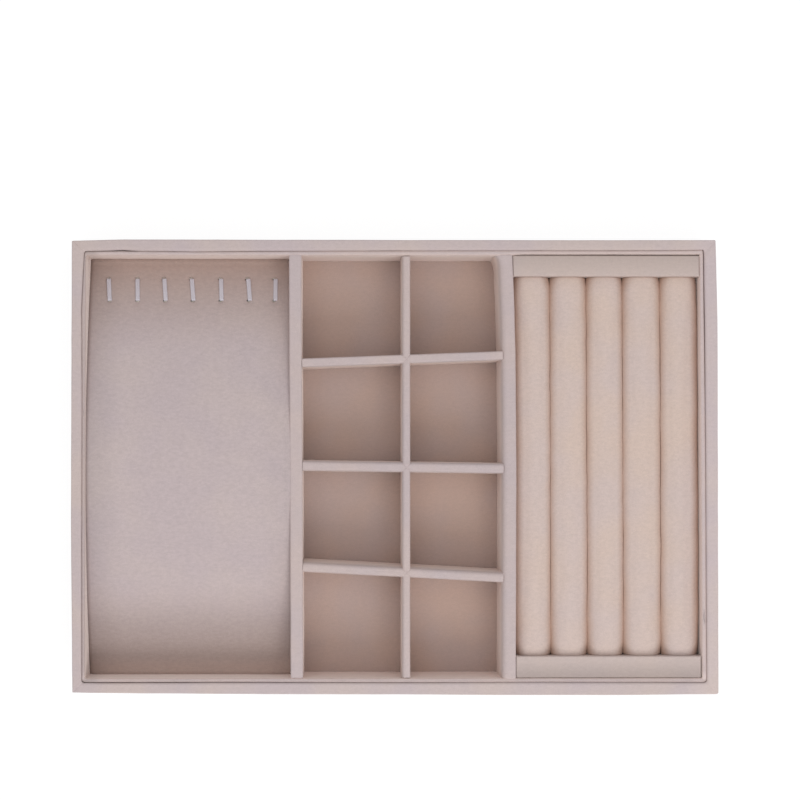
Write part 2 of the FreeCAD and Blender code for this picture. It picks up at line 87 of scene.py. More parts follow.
def add_node(tree, kind, values=None, links=None):
    """A shader node whose inputs, by name or number, get values or links."""
    made = tree.nodes.new(kind)
    set_inputs(made, values or {})
    for key, source in (links or {}).items():
        tree.links.new(source, made.inputs[key])
    return made


# Camera: nearly straight down, a little left of the middle.

CAMERA_PLACE = (-0.0239, 0.0099, 1.300)
CAMERA_LEAN = (0.0092, 0.0208)
CAMERA_ROLL = 0.0004
CAMERA_LENS = 104.4
CAMERA_SENSOR = 36
CAMERA_SHIFT = 0.035
CAMERA_NEAR = 0.01
CAMERA_FAR = 100


def make_camera():
    data = bpy.data.cameras.new("camera")
    data.lens = CAMERA_LENS
    data.sensor_width = CAMERA_SENSOR
    data.shift_x = CAMERA_SHIFT
    data.clip_start = CAMERA_NEAR
    data.clip_end = CAMERA_FAR
    camera = add_object("camera", data)
    ahead = Vector((*CAMERA_LEAN, -1)).normalized()
    across = Vector((math.cos(CAMERA_ROLL), math.sin(CAMERA_ROLL), 0))
    across = (across - ahead * across.dot(ahead)).normalized()
    turn = Matrix((across, across.cross(ahead), -ahead)).transposed()
    camera.matrix_world = Matrix.Translation(CAMERA_PLACE) @ turn.to_4x4()
    bpy.context.scene.camera = camera


# Light: an even pale sky, a weak broad lamp overhead and a soft one above the front, to the right.

SKY_LEVEL = 0.57
LAMPS = {
    "overhead": {"place": (0, 0, 1.5), "size": 1.2, "power": 5.4},
    "front": {"place": (0.25, -0.75, 0.95), "size": 0.6, "power": 4.6},
}
LAMP_AIM = (0, 0, 0.03)
LAMP_COLOUR = (1.0, 0.985, 0.97)
FLOOR_SIZE = 6.0
FLOOR_COLOUR = (0.8, 0.8, 0.8, 1)
FLOOR_SHADE = (0.18, 0.18, 0.18, 1)
FLOOR_GLOW = 0.885


def background_rays(tree):
    """A factor of 1 for the rays that should see the white background."""
    path = tree.nodes.new("ShaderNodeLightPath")
    seen = path.outputs["Is Camera Ray"]
    for name in ("Is Glossy Ray", "Is Transmission Ray"):
        either = add_node(tree, "ShaderNodeMath", links={0: seen, 1: path.outputs[name]})
        either.operation = "MAXIMUM"
        seen = either.outputs[0]
    return seen


def show_white(tree, plain, white, output):
    """Sends white to the rays that should see the background, and plain to all others."""
    sources = {"Fac": background_rays(tree), 1: plain.outputs[0], 2: white.outputs[0]}
    mix = add_node(tree, "ShaderNodeMixShader", links=sources)
    tree.links.new(mix.outputs[0], tree.nodes[output].inputs["Surface"])


def make_sky():
    world = bpy.data.worlds.new("studio")
    bpy.context.scene.world = world
    world.use_nodes = True
    tree = world.node_tree
    light = tree.nodes["Background"]
    set_inputs(light, {"Color": WHITE, "Strength": SKY_LEVEL})
    white = add_node(tree, "ShaderNodeBackground", {"Color": WHITE, "Strength": 1})
    show_white(tree, light, white, "World Output")


def make_lamps():
    for name, lamp in LAMPS.items():
        data = bpy.data.lights.new(name, "AREA")
        data.size = lamp["size"]
        data.energy = lamp["power"]
        data.color = LAMP_COLOUR
        made = add_object(name, data)
        made.location = lamp["place"]
        aim = Vector(LAMP_AIM) - Vector(lamp["place"])
        made.rotation_mode = "QUATERNION"
        made.rotation_quaternion = aim.to_track_quat("-Z", "Y")


def make_floor():
    half = FLOOR_SIZE / 2
    corners = [(-half, -half, 0), (half, -half, 0), (half, half, 0), (-half, half, 0)]
    mesh = bpy.data.meshes.new("floor")
    mesh.from_pydata(corners, [], [(0, 1, 2, 3)])
    floor = add_object("floor", mesh)
    material = bpy.data.materials.new("floor_white")
    material.use_nodes = True
    tree = material.node_tree
    tree.nodes.remove(tree.nodes["Principled BSDF"])
    plain = add_node(tree, "ShaderNodeBsdfDiffuse", {"Color": FLOOR_COLOUR})
    shade = add_node(tree, "ShaderNodeBsdfDiffuse", {"Color": FLOOR_SHADE})
    glow = add_node(tree, "ShaderNodeEmission", {"Strength": FLOOR_GLOW})
    both = add_node(tree, "ShaderNodeAddShader", links={0: shade.outputs[0], 1: glow.outputs[0]})
    show_white(tree, plain, both, "Material Output")
    mesh.materials.append(material)


# Materials. Sizes of spots and grains are in millimetres, and a bump is a strength and a depth.

MIX_FACTOR, MIX_A, MIX_B, MIX_RESULT = 0, 6, 7, 2
NOISE_STOPS = (0.3, 0.7)
FABRIC = {"Roughness": 0.92, "Specular IOR Level": 0.12, "Sheen Roughness": 0.4,
          "Sheen Tint": (0.95, 0.86, 0.82, 1)}
PATCH_SIZE = 30
PATCH_DETAIL = 2
PATCH_STOPS = (0.36, 0.64)
STREAK_SIZE = 1.4
STREAK_DETAIL = 3
STREAK_SHAPE = (1.8, 1, 1)
PILE_DETAIL = 2
PILE_SHADES = (0.95, 1.05)
PILE_BUMP = (0.35, 0.12)


def new_material(name, looks):
    material = bpy.data.materials.new(name)
    material.use_nodes = True
    tree = material.node_tree
    shader = tree.nodes["Principled BSDF"]
    set_inputs(shader, looks)
    place = tree.nodes.new("ShaderNodeTexCoord").outputs["Object"]
    return material, tree, shader, place


def noise_node(tree, place, size, detail, shape=None):
    """Noise whose spots are about size millimetres across, drawn out to a shape."""
    if shape:
        scale = [1 / stretch for stretch in shape]
        place = add_node(tree, "ShaderNodeMapping", {"Scale": scale}, {"Vector": place}).outputs[0]
    looks = {"Scale": 1 / (size * MM), "Detail": detail}
    return add_node(tree, "ShaderNodeTexNoise", looks, {"Vector": place}).outputs["Fac"]


def ramp_node(tree, source, stops, colours):
    """Colours along a value, from the first at the first stop to the second at the second."""
    ramp = add_node(tree, "ShaderNodeValToRGB", links={"Fac": source})
    for element, stop, colour in zip(ramp.color_ramp.elements, stops, colours):
        element.position = stop
        element.color = (*colour, 1)
    return ramp.outputs["Color"]


def mix_node(tree, way, base):
    mix = tree.nodes.new("ShaderNodeMix")
    mix.data_type = "RGBA"
    mix.blend_type = way
    mix.inputs[MIX_FACTOR].default_value = 1
    tree.links.new(base, mix.inputs[MIX_A])
    return mix


def tint(tree, base, source, shades, stops=NOISE_STOPS):
    """Base colour times the first shade where source is low and the second where it is high."""
    mix = mix_node(tree, "MULTIPLY", base)
    shade = ramp_node(tree, source, stops, [(level,) * 3 for level in shades])
    tree.links.new(shade, mix.inputs[MIX_B])
    return mix.outputs[MIX_RESULT]


def place_share(tree, place, axis, start, end):
    """A node that goes from zero at a place along an axis to one at another."""
    split = add_node(tree, "ShaderNodeSeparateXYZ", links={0: place})
    ends = {"From Min": start * MM, "From Max": end * MM}
    return add_node(tree, "ShaderNodeMapRange", ends, {"Value": split.outputs[axis]})


def painted_height_shading(tree, place, base, painted_shading_colour, top, bottom):
    """Base colour that turns into a painted shading colour from level top down to level bottom: painted light
    or shade by height.
    """
    mix = mix_node(tree, "MIX", base)
    tree.links.new(place_share(tree, place, "Z", top, bottom).outputs["Result"], mix.inputs[MIX_FACTOR])
    mix.inputs[MIX_B].default_value = (*painted_shading_colour, 1)
    return mix.outputs[MIX_RESULT]


def painted_edge_shading(tree, place, base, axis, shade, edge, inside):
    """Base colour times shade at place edge along an axis, and plain from place inside on: painted light or
    shade near an edge.
    """
    share = place_share(tree, place, axis, edge, inside)
    share.interpolation_type = "SMOOTHSTEP"
    return tint(tree, base, share.outputs["Result"], (shade, 1), (0, 1))


def bump(tree, shader, source, strength, depth):
    looks = {"Strength": strength, "Distance": depth * MM}
    lift = add_node(tree, "ShaderNodeBump", looks, {"Height": source})
    tree.links.new(lift.outputs[0], shader.inputs["Normal"])


def pile_fabric(name, cool, warm, sheen=0.15, grain=0.5, streak=0.03, painted_shading_colour=None, levels=(), edges=()):
    """Short-pile fabric: patches of two near colours, a brushed nap, a fine grain and a sheen, with painted
    light or shade by height and near edges where given.
    """
    material, tree, shader, place = new_material(name, {**FABRIC, "Sheen Weight": sheen})
    patches = noise_node(tree, place, PATCH_SIZE, PATCH_DETAIL)
    colour = ramp_node(tree, patches, PATCH_STOPS, (cool, warm))
    # Painted light or shade by height.
    if painted_shading_colour:
        colour = painted_height_shading(tree, place, colour, painted_shading_colour, *levels)
    # Painted light or shade near edges.
    for edge in edges:
        colour = painted_edge_shading(tree, place, colour, *edge)
    brushed = noise_node(tree, place, STREAK_SIZE, STREAK_DETAIL, STREAK_SHAPE)
    colour = tint(tree, colour, brushed, (1 - streak, 1 + streak))
    pile = noise_node(tree, place, grain, PILE_DETAIL)
    colour = tint(tree, colour, pile, PILE_SHADES)
    tree.links.new(colour, shader.inputs["Base Color"])
    bump(tree, shader, pile, *PILE_BUMP)
    return material


BOARD = {"Specular IOR Level": 0.2}
BOARD_DETAIL = 3
BOARD_BUMP = (0.4, 0.1)
FIBRE_DETAIL = 6
FIBRE_SHAPE = (3, 1, 1)
FIBRE_STOPS = (0.35, 0.65)


def speckled(name, dark, light, spot, grain, roughness):
    """Pressed board, card or felt: fibres of two colours and a rough grain."""
    material, tree, shader, place = new_material(name, {**BOARD, "Roughness": roughness})
    fibres = noise_node(tree, place, spot, FIBRE_DETAIL, FIBRE_SHAPE)
    tree.links.new(ramp_node(tree, fibres, FIBRE_STOPS, (dark, light)), shader.inputs["Base Color"])
    bump(tree, shader, noise_node(tree, place, grain, BOARD_DETAIL), *BOARD_BUMP)
    return material


FOAM = {"Roughness": 0.95, "Specular IOR Level": 0.1}
PIT_STOPS = (0.1, 0.8)
PIT_BUMP = (0.6, 0.3)


def cell_foam(name, dark, light, cell):
    """Open-cell foam: small pits."""
    material, tree, shader, place = new_material(name, FOAM)
    spots = add_node(tree, "ShaderNodeTexVoronoi", {"Scale": 1 / (cell * MM)}, {"Vector": place})
    pits = spots.outputs["Distance"]
    tree.links.new(ramp_node(tree, pits, PIT_STOPS, (light, dark)), shader.inputs["Base Color"])
    bump(tree, shader, pits, *PIT_BUMP)
    return material


# A wave texture of scale one repeats after a tenth of pi.
WAVE_REPEAT = math.pi / 10
ELASTIC = {"Roughness": 0.75, "Specular IOR Level": 0.25}
WEAVE = {"Distortion": 1.5, "Detail": 1}
WEAVE_STOPS = (0, 0.5)
WEAVE_BUMP = (0.5, 0.1)


def woven_elastic(name, dark, light, rib, pick):
    """Flat elastic: fine cross picks over lengthwise ribs."""
    material, tree, shader, place = new_material(name, ELASTIC)
    weave = tree.nodes.new("ShaderNodeMath")
    weave.operation = "MULTIPLY"
    for index, (direction, size) in enumerate((("X", rib), ("Y", pick))):
        looks = {**WEAVE, "Scale": WAVE_REPEAT / (size * MM)}
        wave = add_node(tree, "ShaderNodeTexWave", looks, {"Vector": place})
        wave.bands_direction = direction
        tree.links.new(wave.outputs["Fac"], weave.inputs[index])
    threads = weave.outputs[0]
    tree.links.new(ramp_node(tree, threads, WEAVE_STOPS, (dark, light)), shader.inputs["Base Color"])
    bump(tree, shader, threads, *WEAVE_BUMP)
    return material


# Painted light and shade. Levels: heights between which a fabric turns into its painted shading colour.
# Edges: axis, painted light or shade at the edge, place of the edge and place from which the fabric is plain.
# Inner walls of the liner, from just below its top: painted light, a lighter colour.
WALL_PAINTED_LIGHT_LEVELS = (44.2, 43.2)
# Faces of the dividers, lower down: painted light, a lighter colour.
DIVIDER_PAINTED_LIGHT_LEVELS = (43.2, 34)
# Low ends of the panel: painted shade, darker and browner.
PANEL_PAINTED_SHADE_LEVELS = (36, 20)
# Grooves between the rolls: painted shade, darker and browner.
ROLL_PAINTED_SHADE_LEVELS = (39.6, 35.4)
# Right side of the rim: painted light.
RIM_PAINTED_LIGHT = (("X", 1.05, 168, 150),)
# Front liner: painted light, with painted shade on the outer part of its top. Left liner: painted shade, with
# painted light along its outer edge. Right liner: painted light.
WALL_PAINTED_LIGHT_AND_SHADE = (("Y", 1.14, -113.5, -110), ("Y", 0.78, -115.6, -114.4),
              ("X", 0.82, -164, -158), ("X", 1.08, -168.3, -167.7), ("X", 1.03, 163, 158))
# Panel: painted shade along its left and right edges, over its front slope and over its rear slope; painted
# light at its very front and rear ends.
PANEL_PAINTED_LIGHT_AND_SHADE = (("X", 0.87, -167, -146), ("X", 0.97, -64, -76), ("Y", 0.78, -96, -66),
               ("Y", 1.3, -112, -102), ("Y", 0.94, 92, 66), ("Y", 1.06, 112, 104))
# End bars: painted shade towards their outer edges.
BAR_PAINTED_SHADE = (("Y", 0.76, -115, -103), ("Y", 0.88, 115.5, 103))

FABRICS = {
    # Rim: painted light on its right side.
    "rim_suede": dict(cool=(0.535, 0.455, 0.465), warm=(0.565, 0.475, 0.455), sheen=0.12, grain=0.4,
                      edges=RIM_PAINTED_LIGHT),
    # Liner: painted light down its inner walls and painted light and shade near its edges.
    "lining_velvet": dict(cool=(0.54, 0.457, 0.46), warm=(0.57, 0.473, 0.456), sheen=0.8,
                          painted_shading_colour=(0.69, 0.555, 0.51), levels=WALL_PAINTED_LIGHT_LEVELS, edges=WALL_PAINTED_LIGHT_AND_SHADE),
    # Dividers: painted light on their faces, lighter further down.
    "divider_velvet": dict(cool=(0.525, 0.445, 0.45), warm=(0.555, 0.46, 0.445), sheen=0.6,
                           painted_shading_colour=(0.66, 0.52, 0.465), levels=DIVIDER_PAINTED_LIGHT_LEVELS),
    # Panel: painted shade on its low ends and painted light and shade near its edges.
    "panel_velvet": dict(cool=(0.515, 0.435, 0.445), warm=(0.54, 0.455, 0.45), sheen=0.3, streak=0.05,
                         painted_shading_colour=(0.485, 0.375, 0.335), levels=PANEL_PAINTED_SHADE_LEVELS, edges=PANEL_PAINTED_LIGHT_AND_SHADE),
    "floor_velvet": dict(cool=(0.505, 0.40, 0.37), warm=(0.535, 0.407, 0.355)),
    # Rolls: painted shade in their grooves.
    "ring_velvet": dict(cool=(0.60, 0.493, 0.463), warm=(0.625, 0.50, 0.442), sheen=0.18, streak=0.04,
                        painted_shading_colour=(0.54, 0.385, 0.31), levels=ROLL_PAINTED_SHADE_LEVELS),
    # End bars: painted shade towards their outer edges.
    "bar_suede": dict(cool=(0.535, 0.448, 0.426), warm=(0.56, 0.463, 0.428), sheen=0.12, grain=0.4,
                      edges=BAR_PAINTED_SHADE),
}
BOARDS = {
    "fibreboard": dict(dark=(0.40, 0.29, 0.19), light=(0.56, 0.43, 0.30), spot=0.8, grain=0.5, roughness=0.8),
    "card": dict(dark=(0.47, 0.42, 0.36), light=(0.60, 0.55, 0.49), spot=0.7, grain=0.4, roughness=0.85),
    "felt": dict(dark=(0.36, 0.30, 0.285), light=(0.47, 0.41, 0.39), spot=1.2, grain=0.7, roughness=0.97),
}
FOAMS = {"foam": dict(dark=(0.70, 0.68, 0.62), light=(0.87, 0.86, 0.82), cell=0.9)}
ELASTICS = {"elastic": dict(dark=(0.52, 0.49, 0.54), light=(0.69, 0.66, 0.715), rib=0.5, pick=0.4)}
KINDS = {pile_fabric: FABRICS, speckled: BOARDS, cell_foam: FOAMS, woven_elastic: ELASTICS}
MATERIALS = {name: make(name, **looks) for make, kind in KINDS.items() for name, looks in kind.items()}


def dress_frame():
    """Gives every CAD node the material of its slot."""
    for part in frame["record"]["subparts"]:
        mesh = nodes[part["node"]].data
        mesh.materials.clear()
        mesh.materials.append(MATERIALS[part["material_slot"]])


# Mesh helpers.

SEED_STEPS = (17.3, 5.9, 11.7)


def noise_at(points, size, seed):
    """Smooth noise from about -1 to 1 at points in millimetres, with spots of that size."""
    points = np.asarray(points)
    step = Vector(SEED_STEPS) * seed
    values = [noise.noise(Vector(point) / size + step) for point in points.reshape(-1, 3)]
    return np.array(values).reshape(points.shape[:-1])


def slack_at(points, size, seed, depth):
    """How far loose fabric sinks in at points, from zero to depth."""
    return np.abs(noise_at(points, size, seed)) * depth


def end_shape(distance, reach):
    """One at no distance, falling to zero a reach away on a quarter circle."""
    left = 1 - np.minimum(np.abs(distance) / reach, 1)
    return 1 - np.sqrt(1 - left ** 2)


def grid_faces(rows, columns, ring=False):
    faces = []
    for row in range(rows - 1):
        for column in range(columns if ring else columns - 1):
            after = (column + 1) % columns
            here, there = row * columns, (row + 1) * columns
            faces.append((here + column, here + after, there + after, there + column))
    return faces


def tube_faces(rows, count):
    """Faces of a tube of rows with count points round it, closed at both ends."""
    total = rows * count
    caps = [tuple(range(count)), tuple(range(total - 1, total - count - 1, -1))]
    return grid_faces(rows, count, ring=True) + caps


def make_piece(name, points, faces, slot, body, stands_for, skin=0, material=None):
    """A piece of the tray from points in millimetres. With a skin it is a sheet of that thickness."""
    mesh = bpy.data.meshes.new(name)
    mesh.from_pydata((np.reshape(points, (-1, 3)) * MM).tolist(), [], faces)
    mesh.update()
    upward = sum(face.normal.z * face.area for face in mesh.polygons)
    if upward < 0:
        mesh.flip_normals()
    mesh.shade_smooth()
    mesh.materials.append(material or MATERIALS[slot])
    piece = add_object(name, mesh)
    if skin:
        wall = piece.modifiers.new("inner_side", "SOLIDIFY")
        wall.thickness = skin * MM
        wall.offset = -1
    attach(piece, body)
    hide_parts(*stands_for)
    return piece


def arc(middle, height, radius, start, end, steps):
    """Points (sideways, height) on an arc from angle start to end, in degrees."""
    turns = np.radians(np.linspace(start, end, steps + 1))
    return [(middle + radius * math.cos(turn), height + radius * math.sin(turn)) for turn in turns]


def upright(place, start, end, steps):
    """Points (sideways, height) on an upright line, without its first one."""
    return [(place, height) for height in np.linspace(start, end, steps + 1)[1:]]


# Rim and liner: profiles that run round the tray. Drifts are distances inward along each side,
# as (place along the side, distance).

ARC_STEPS = 8
ROUND_STEPS = 6
STATION = 2.5
SIDES = ("rear", "front", "left", "right")
OUTER_DRIFT = {
    "rear": ((-174, 0.7), (-160, 0.38), (-147, 0.05), (0, 0.15), (100, 0.2), (170, 0.05)),
    "front": ((-174, 1.1), (-160, 0.9), (-134, 0.65), (-95, 0.38), (-60, 0.1), (0, 0.0), (60, -0.38),
              (120, -0.48), (151, -0.15), (174, 0.0)),
    "left": ((-122, 1.0), (-87, 0.7), (-53, 0.27), (-30, 0.05), (122, 0.0)),
    "right": ((-122, -0.05), (80, -0.1), (94, 0.15), (112, 0.55), (122, 0.8)),
}
RIM_DRIFT = {
    "rear": ((-168, 0.3), (-157, 0.0), (-147, -0.45), (-139, 0.1), (-110, 0.4), (-60, 0.1), (-27, -0.1),
             (30, -0.3), (66, -0.4), (120, -0.4), (160, -0.6), (168, -0.8)),
    "front": ((-168, 0.1), (-90, 0.25), (0, 0.1), (80, 0.3), (168, 0.1)),
    "left": ((-116, -0.2), (-40, -0.45), (40, -0.5), (85, -0.8), (106, 0.1), (116, 0.7)),
    "right": ((-116, 0.0), (-70, 0.1), (0, 0.2), (68, 0.5), (101, 0.85), (116, 1.0)),
}
JOINT_GAP = {
    "rear": ((-168, 0.05), (-156, 0.25), (-146, 0.6), (-138, 0.05), (0, 0.0), (168, 0.0)),
    "front": ((-168, 0.25), (-80, 0.22), (-30, 0.1), (30, 0.0), (168, 0.05)),
    "left": ((-116, 0.1), (0, 0.0), (90, 0.0), (116, 0.05)),
    "right": ((-116, 0.05), (0, 0.1), (85, 0.35), (116, 0.3)),
}
LINER_DRIFT = {
    "rear": ((-166, 0.0), (60, 0.0), (70, -0.7), (166, -0.75)),
    "front": ((0, 0.0),),
    "left": ((0, -0.9),),
    "right": ((-114, 0.1), (0, 0.5), (68, 0.8), (114, 0.9)),
}


def frame_loop(half_x, half_y, radius, steps):
    """Plan line of a rounded rectangle and its outward directions, the same count for every size."""
    spots, ways = [], []
    corners = ((1, -1), (1, 1), (-1, 1), (-1, -1))
    inner = np.array((half_x - radius, half_y - radius))
    for turn, corner in enumerate(corners):
        middle = inner * corner
        ahead = inner * corners[(turn + 1) % len(corners)]
        for step in range(ARC_STEPS + 1):
            angle = math.radians(QUARTER * (turn - 1 + step / ARC_STEPS))
            way = np.array((math.cos(angle), math.sin(angle)))
            spots.append(middle + radius * way)
            ways.append(way)
        start = spots[-1]
        count = steps[turn % 2]
        for step in range(1, count):
            spots.append(start + (ahead - middle) * step / count)
            ways.append(way)
    return np.array(spots), np.array(ways)


def side_drift(spots, ways, drifts):
    """How far a loop is drawn in at each spot, as vectors."""
    def along(side, places):
        return np.interp(places, *zip(*drifts[side]))
    x, y = spots.T
    across = np.where(ways[:, 0] > 0, along("right", y), along("left", y))
    lengthwise = np.where(ways[:, 1] > 0, along("rear", x), along("front", x))
    return np.stack((ways[:, 0] * across, ways[:, 1] * lengthwise), axis=1)


def ring_points(profile, half, corners, outer_drifts, inner_drifts):
    """Points of a profile (place inward, height) run round the tray, and their outward directions."""
    width = max(place for place, _ in profile)
    steps = (int(2 * half[1] / STATION), int(2 * half[0] / STATION))
    loops, outward = [], []
    for place, height in profile:
        share = place / width
        radius = corners[0] + (corners[1] - corners[0]) * share
        spots, ways = frame_loop(half[0] - place, half[1] - place, radius, steps)
        drift = (1 - share) * sum(side_drift(spots, ways, drifts) for drifts in outer_drifts)
        drift = drift + share * sum(side_drift(spots, ways, drifts) for drifts in inner_drifts)
        loops.append(np.column_stack((spots - drift, np.full(len(spots), float(height)))))
        outward.append(ways)
    return np.array(loops), np.array(outward)


def covered_width(cover, core):
    """Width of a right-hand core board with the skin on both its faces."""
    outer = box_of(cover)[1][0]
    low, high = box_of(core)
    return (outer - low[0]) + (outer - high[0])


def rim_inside():
    """Half length and half width inside the rim."""
    return box_of("outer_wrap")[1][:2] - covered_width("outer_wrap", "wall_board_right")


FRAME_SLACK = 0.14
MITRE_DEPTH = 0.22
MITRE_WIDTH = 0.4
MITRE_LAP = 0.1
MITRE_FADE = 9.0


def mitre_dip(away):
    """Depth of the folded mitre lines of a frame, by the distance from a corner's diagonal."""
    groove = MITRE_DEPTH * np.exp(-(away / MITRE_WIDTH) ** 2)
    lap = MITRE_LAP * np.exp(-np.maximum(away, 0) / MITRE_FADE) * (away > 0)
    return groove + lap


def sag_frame(points, ways, half, inward, level, size, seed, mitre_share=1):
    """Lets a frame's fabric sink in and, by the share at each level, down, with dips along its mitres."""
    slack = slack_at(points, size, seed, FRAME_SLACK)
    points[..., :2] -= ways * (slack * inward[:, None])[..., None]
    away = (half[0] - np.abs(points[..., 0])) - (half[1] - np.abs(points[..., 1]))
    dip = slack_at(points, size, seed + 1, FRAME_SLACK) + mitre_share * mitre_dip(away)
    points[..., 2] -= dip * np.clip(level, 0, 1)[:, None]


WRAP_CORNERS = (1.2, 1.5)
WRAP_OUTER_ROUND = 0.7
WRAP_INNER_ROUND = 1.5
WRAP_HEM = 0.9
WRAP_SKIN = 0.55
WRAP_TURN_IN = 13.5
WRAP_SLACK_SIZE = 24
WRAP_WALL_STEPS = 12
WRAP_TOP_PLACES = 6
WRAP_FLAP_STEPS = 6


def make_outer_wrap():
    low, high = box_of("outer_wrap")
    foot, top = low[2], high[2]
    width = covered_width("outer_wrap", "wall_board_right")
    shoulder, lip = top - WRAP_OUTER_ROUND, top - WRAP_INNER_ROUND
    profile = arc(WRAP_HEM, foot + WRAP_HEM, WRAP_HEM, -QUARTER, -2 * QUARTER, ROUND_STEPS)
    profile += upright(0, foot + WRAP_HEM, shoulder, WRAP_WALL_STEPS)
    profile += arc(WRAP_OUTER_ROUND, shoulder, WRAP_OUTER_ROUND, 2 * QUARTER, QUARTER, ROUND_STEPS)[1:]
    flat = np.linspace(WRAP_OUTER_ROUND, width - WRAP_INNER_ROUND, WRAP_TOP_PLACES)
    profile += [(place, top) for place in flat[1:]]
    profile += arc(width - WRAP_INNER_ROUND, lip, WRAP_INNER_ROUND, QUARTER, 0, ROUND_STEPS)[1:]
    profile += upright(width, lip, top - WRAP_TURN_IN, WRAP_FLAP_STEPS)
    points, ways = ring_points(profile, high[:2], WRAP_CORNERS, [OUTER_DRIFT], [RIM_DRIFT])
    place, height = np.array(profile).T
    inward = np.where(place < width / 2, 1, -1)
    level = (height - shoulder) / WRAP_OUTER_ROUND
    sag_frame(points, ways, high, inward, level, WRAP_SLACK_SIZE, SEEDS["wrap"])
    faces = grid_faces(*points.shape[:2], ring=True)
    covered = ["outer_wrap"] + [f"wall_board_{side}" for side in SIDES]
    make_piece("outer_wrap_suede", points, faces, "rim_suede", "tray", covered, WRAP_SKIN)


LINER_SKIN = 0.5
LINER_TURN_OVER = 9.5
LINER_CORNERS = (1.9, 0.8)
LINER_OUTER_ROUND = 1.1
LINER_INNER_ROUND = 1.3
LINER_MITRE_SHARE = 0.8
LINER_SLACK_SIZE = 26
LINER_FLAP_STEPS = 5
LINER_WALL_STEPS = 14


def make_liner():
    low, high = box_of("liner_velvet")
    foot, top = low[2], high[2]
    half = rim_inside()
    width = half[0] - high[0] + covered_width("liner_velvet", "liner_card_right")
    shoulder, lip, hem = top - LINER_OUTER_ROUND, top - LINER_INNER_ROUND, top - LINER_TURN_OVER
    profile = [(0, hem)] + upright(0, hem, shoulder, LINER_FLAP_STEPS)
    profile += arc(LINER_OUTER_ROUND, shoulder, LINER_OUTER_ROUND, 2 * QUARTER, QUARTER, ROUND_STEPS)[1:]
    profile += arc(width - LINER_INNER_ROUND, lip, LINER_INNER_ROUND, QUARTER, 0, ROUND_STEPS)
    profile += upright(width, lip, foot, LINER_WALL_STEPS)
    points, ways = ring_points(profile, half, LINER_CORNERS, [RIM_DRIFT, JOINT_GAP], [LINER_DRIFT])
    place, height = np.array(profile).T
    inward = -np.clip(2 * place / width - 1, 0, 1)
    level = (height - lip) / LINER_INNER_ROUND
    sag_frame(points, ways, half, inward, level, LINER_SLACK_SIZE, SEEDS["liner"], LINER_MITRE_SHARE)
    faces = grid_faces(*points.shape[:2], ring=True)
    covered = ["liner_velvet"] + [f"liner_card_{side}" for side in SIDES]
    make_piece("liner_velvet_frame", points, faces, "lining_velvet", "tray", covered, LINER_SKIN)


# Folded strips: the velvet on the dividers. A strip runs from start to end, and its left side,
# seen that way, has positive places across.

STRIP_STATION = 2.0
STRIP_SKIN = 0.5
STRIP_SLACK = 0.14
STRIP_SLACK_SIZE = 24
WALL_STEPS = 9
FLARE_REACH = 4.0
DIP_REACH = 3.0
TUCK_REACH = 6.0
MARK_STEPS = (0, 0.15, 0.35, 0.6, 0.9, 1.3, 1.9)
CROSS_DEPTH = 0.35
CROSS_WIDTH = 0.3
CROSS_STEPS = 17
CROWN_STEPS = 5
STATION_DIGITS = 4


def flare(drop, amount):
    """How far a padded face stands out, by the drop below its top."""
    return amount * (1 - np.exp(-np.maximum(drop, 0) / FLARE_REACH))


def half_fold(half, foot, lap, top, rounding, amount):
    """One face of a folded strip (outward, height), from its lower edge to its rounded upper edge."""
    shoulder = top - rounding
    face = [(half, foot)] + upright(half, foot, lap, WALL_STEPS) + upright(half, lap, shoulder, WALL_STEPS)
    face += arc(half - rounding, shoulder, rounding, 0, QUARTER, ROUND_STEPS)[1:]
    return [(place + flare(top - level, amount), level) for place, level in face]


def fold_profile(width, foot, lap, top, rounds, flares, steps=CROWN_STEPS):
    """Across a folded strip (sideways, height), from its right lower edge over the top to the left one."""
    right, left = (half_fold(width / 2, foot, lap, top, rounding, amount)
                   for rounding, amount in zip(rounds, flares))
    crown = [(place, top) for place in np.linspace(-right[-1][0], left[-1][0], steps)[1:-1]]
    return [(-place, level) for place, level in right] + crown + left[::-1]


def strip_points(start, end, stations, profile, seed, dips, tucks=(), lean=None, cross=None):
    """Points of a folded strip. Dips (mark, depth, reach, pinch) lower and narrow its top at a mark.
    Tucks (mark, way, amount) draw the strip back from a flared face. Lean turns its cross lines.
    Cross is the mark of two crossed creases."""
    start, end = np.array(start), np.array(end)
    along = (end - start) / np.linalg.norm(end - start)
    side = np.array((-along[1], along[0]))
    place, level = np.array(profile).T
    top = level.max()
    station = np.array(stations)[:, None]
    high = np.clip(1 - (top - level) / DIP_REACH, 0, 1)
    run = station + (lean(station) * place if lean else 0 * place)
    for mark, way, amount in tucks:
        ahead = way * (station - mark)
        near = np.clip(1 - ahead / TUCK_REACH, 0, 1) * (ahead >= 0)
        run = run + way * near * flare(top - level, amount)
    drop = sum(depth * end_shape(station - mark, reach) for mark, depth, reach, _ in dips)
    pinch = sum(share * end_shape(station - mark, reach) for mark, _, reach, share in dips)
    if cross is not None:
        away = np.abs(station - cross) - np.abs(place)
        drop = drop + CROSS_DEPTH * np.exp(-(away / CROSS_WIDTH) ** 2)
    across = place * (1 - pinch * high)
    points = np.empty((*run.shape, 3))
    points[..., :2] = start + run[..., None] * along + across[..., None] * side
    points[..., 2] = level - drop * high
    slack = slack_at(points, STRIP_SLACK_SIZE, seed, STRIP_SLACK)
    points[..., :2] -= side * (slack * np.sign(place))[..., None]
    points[..., 2] -= slack_at(points, STRIP_SLACK_SIZE, seed + 1, STRIP_SLACK) * high ** 2
    return points


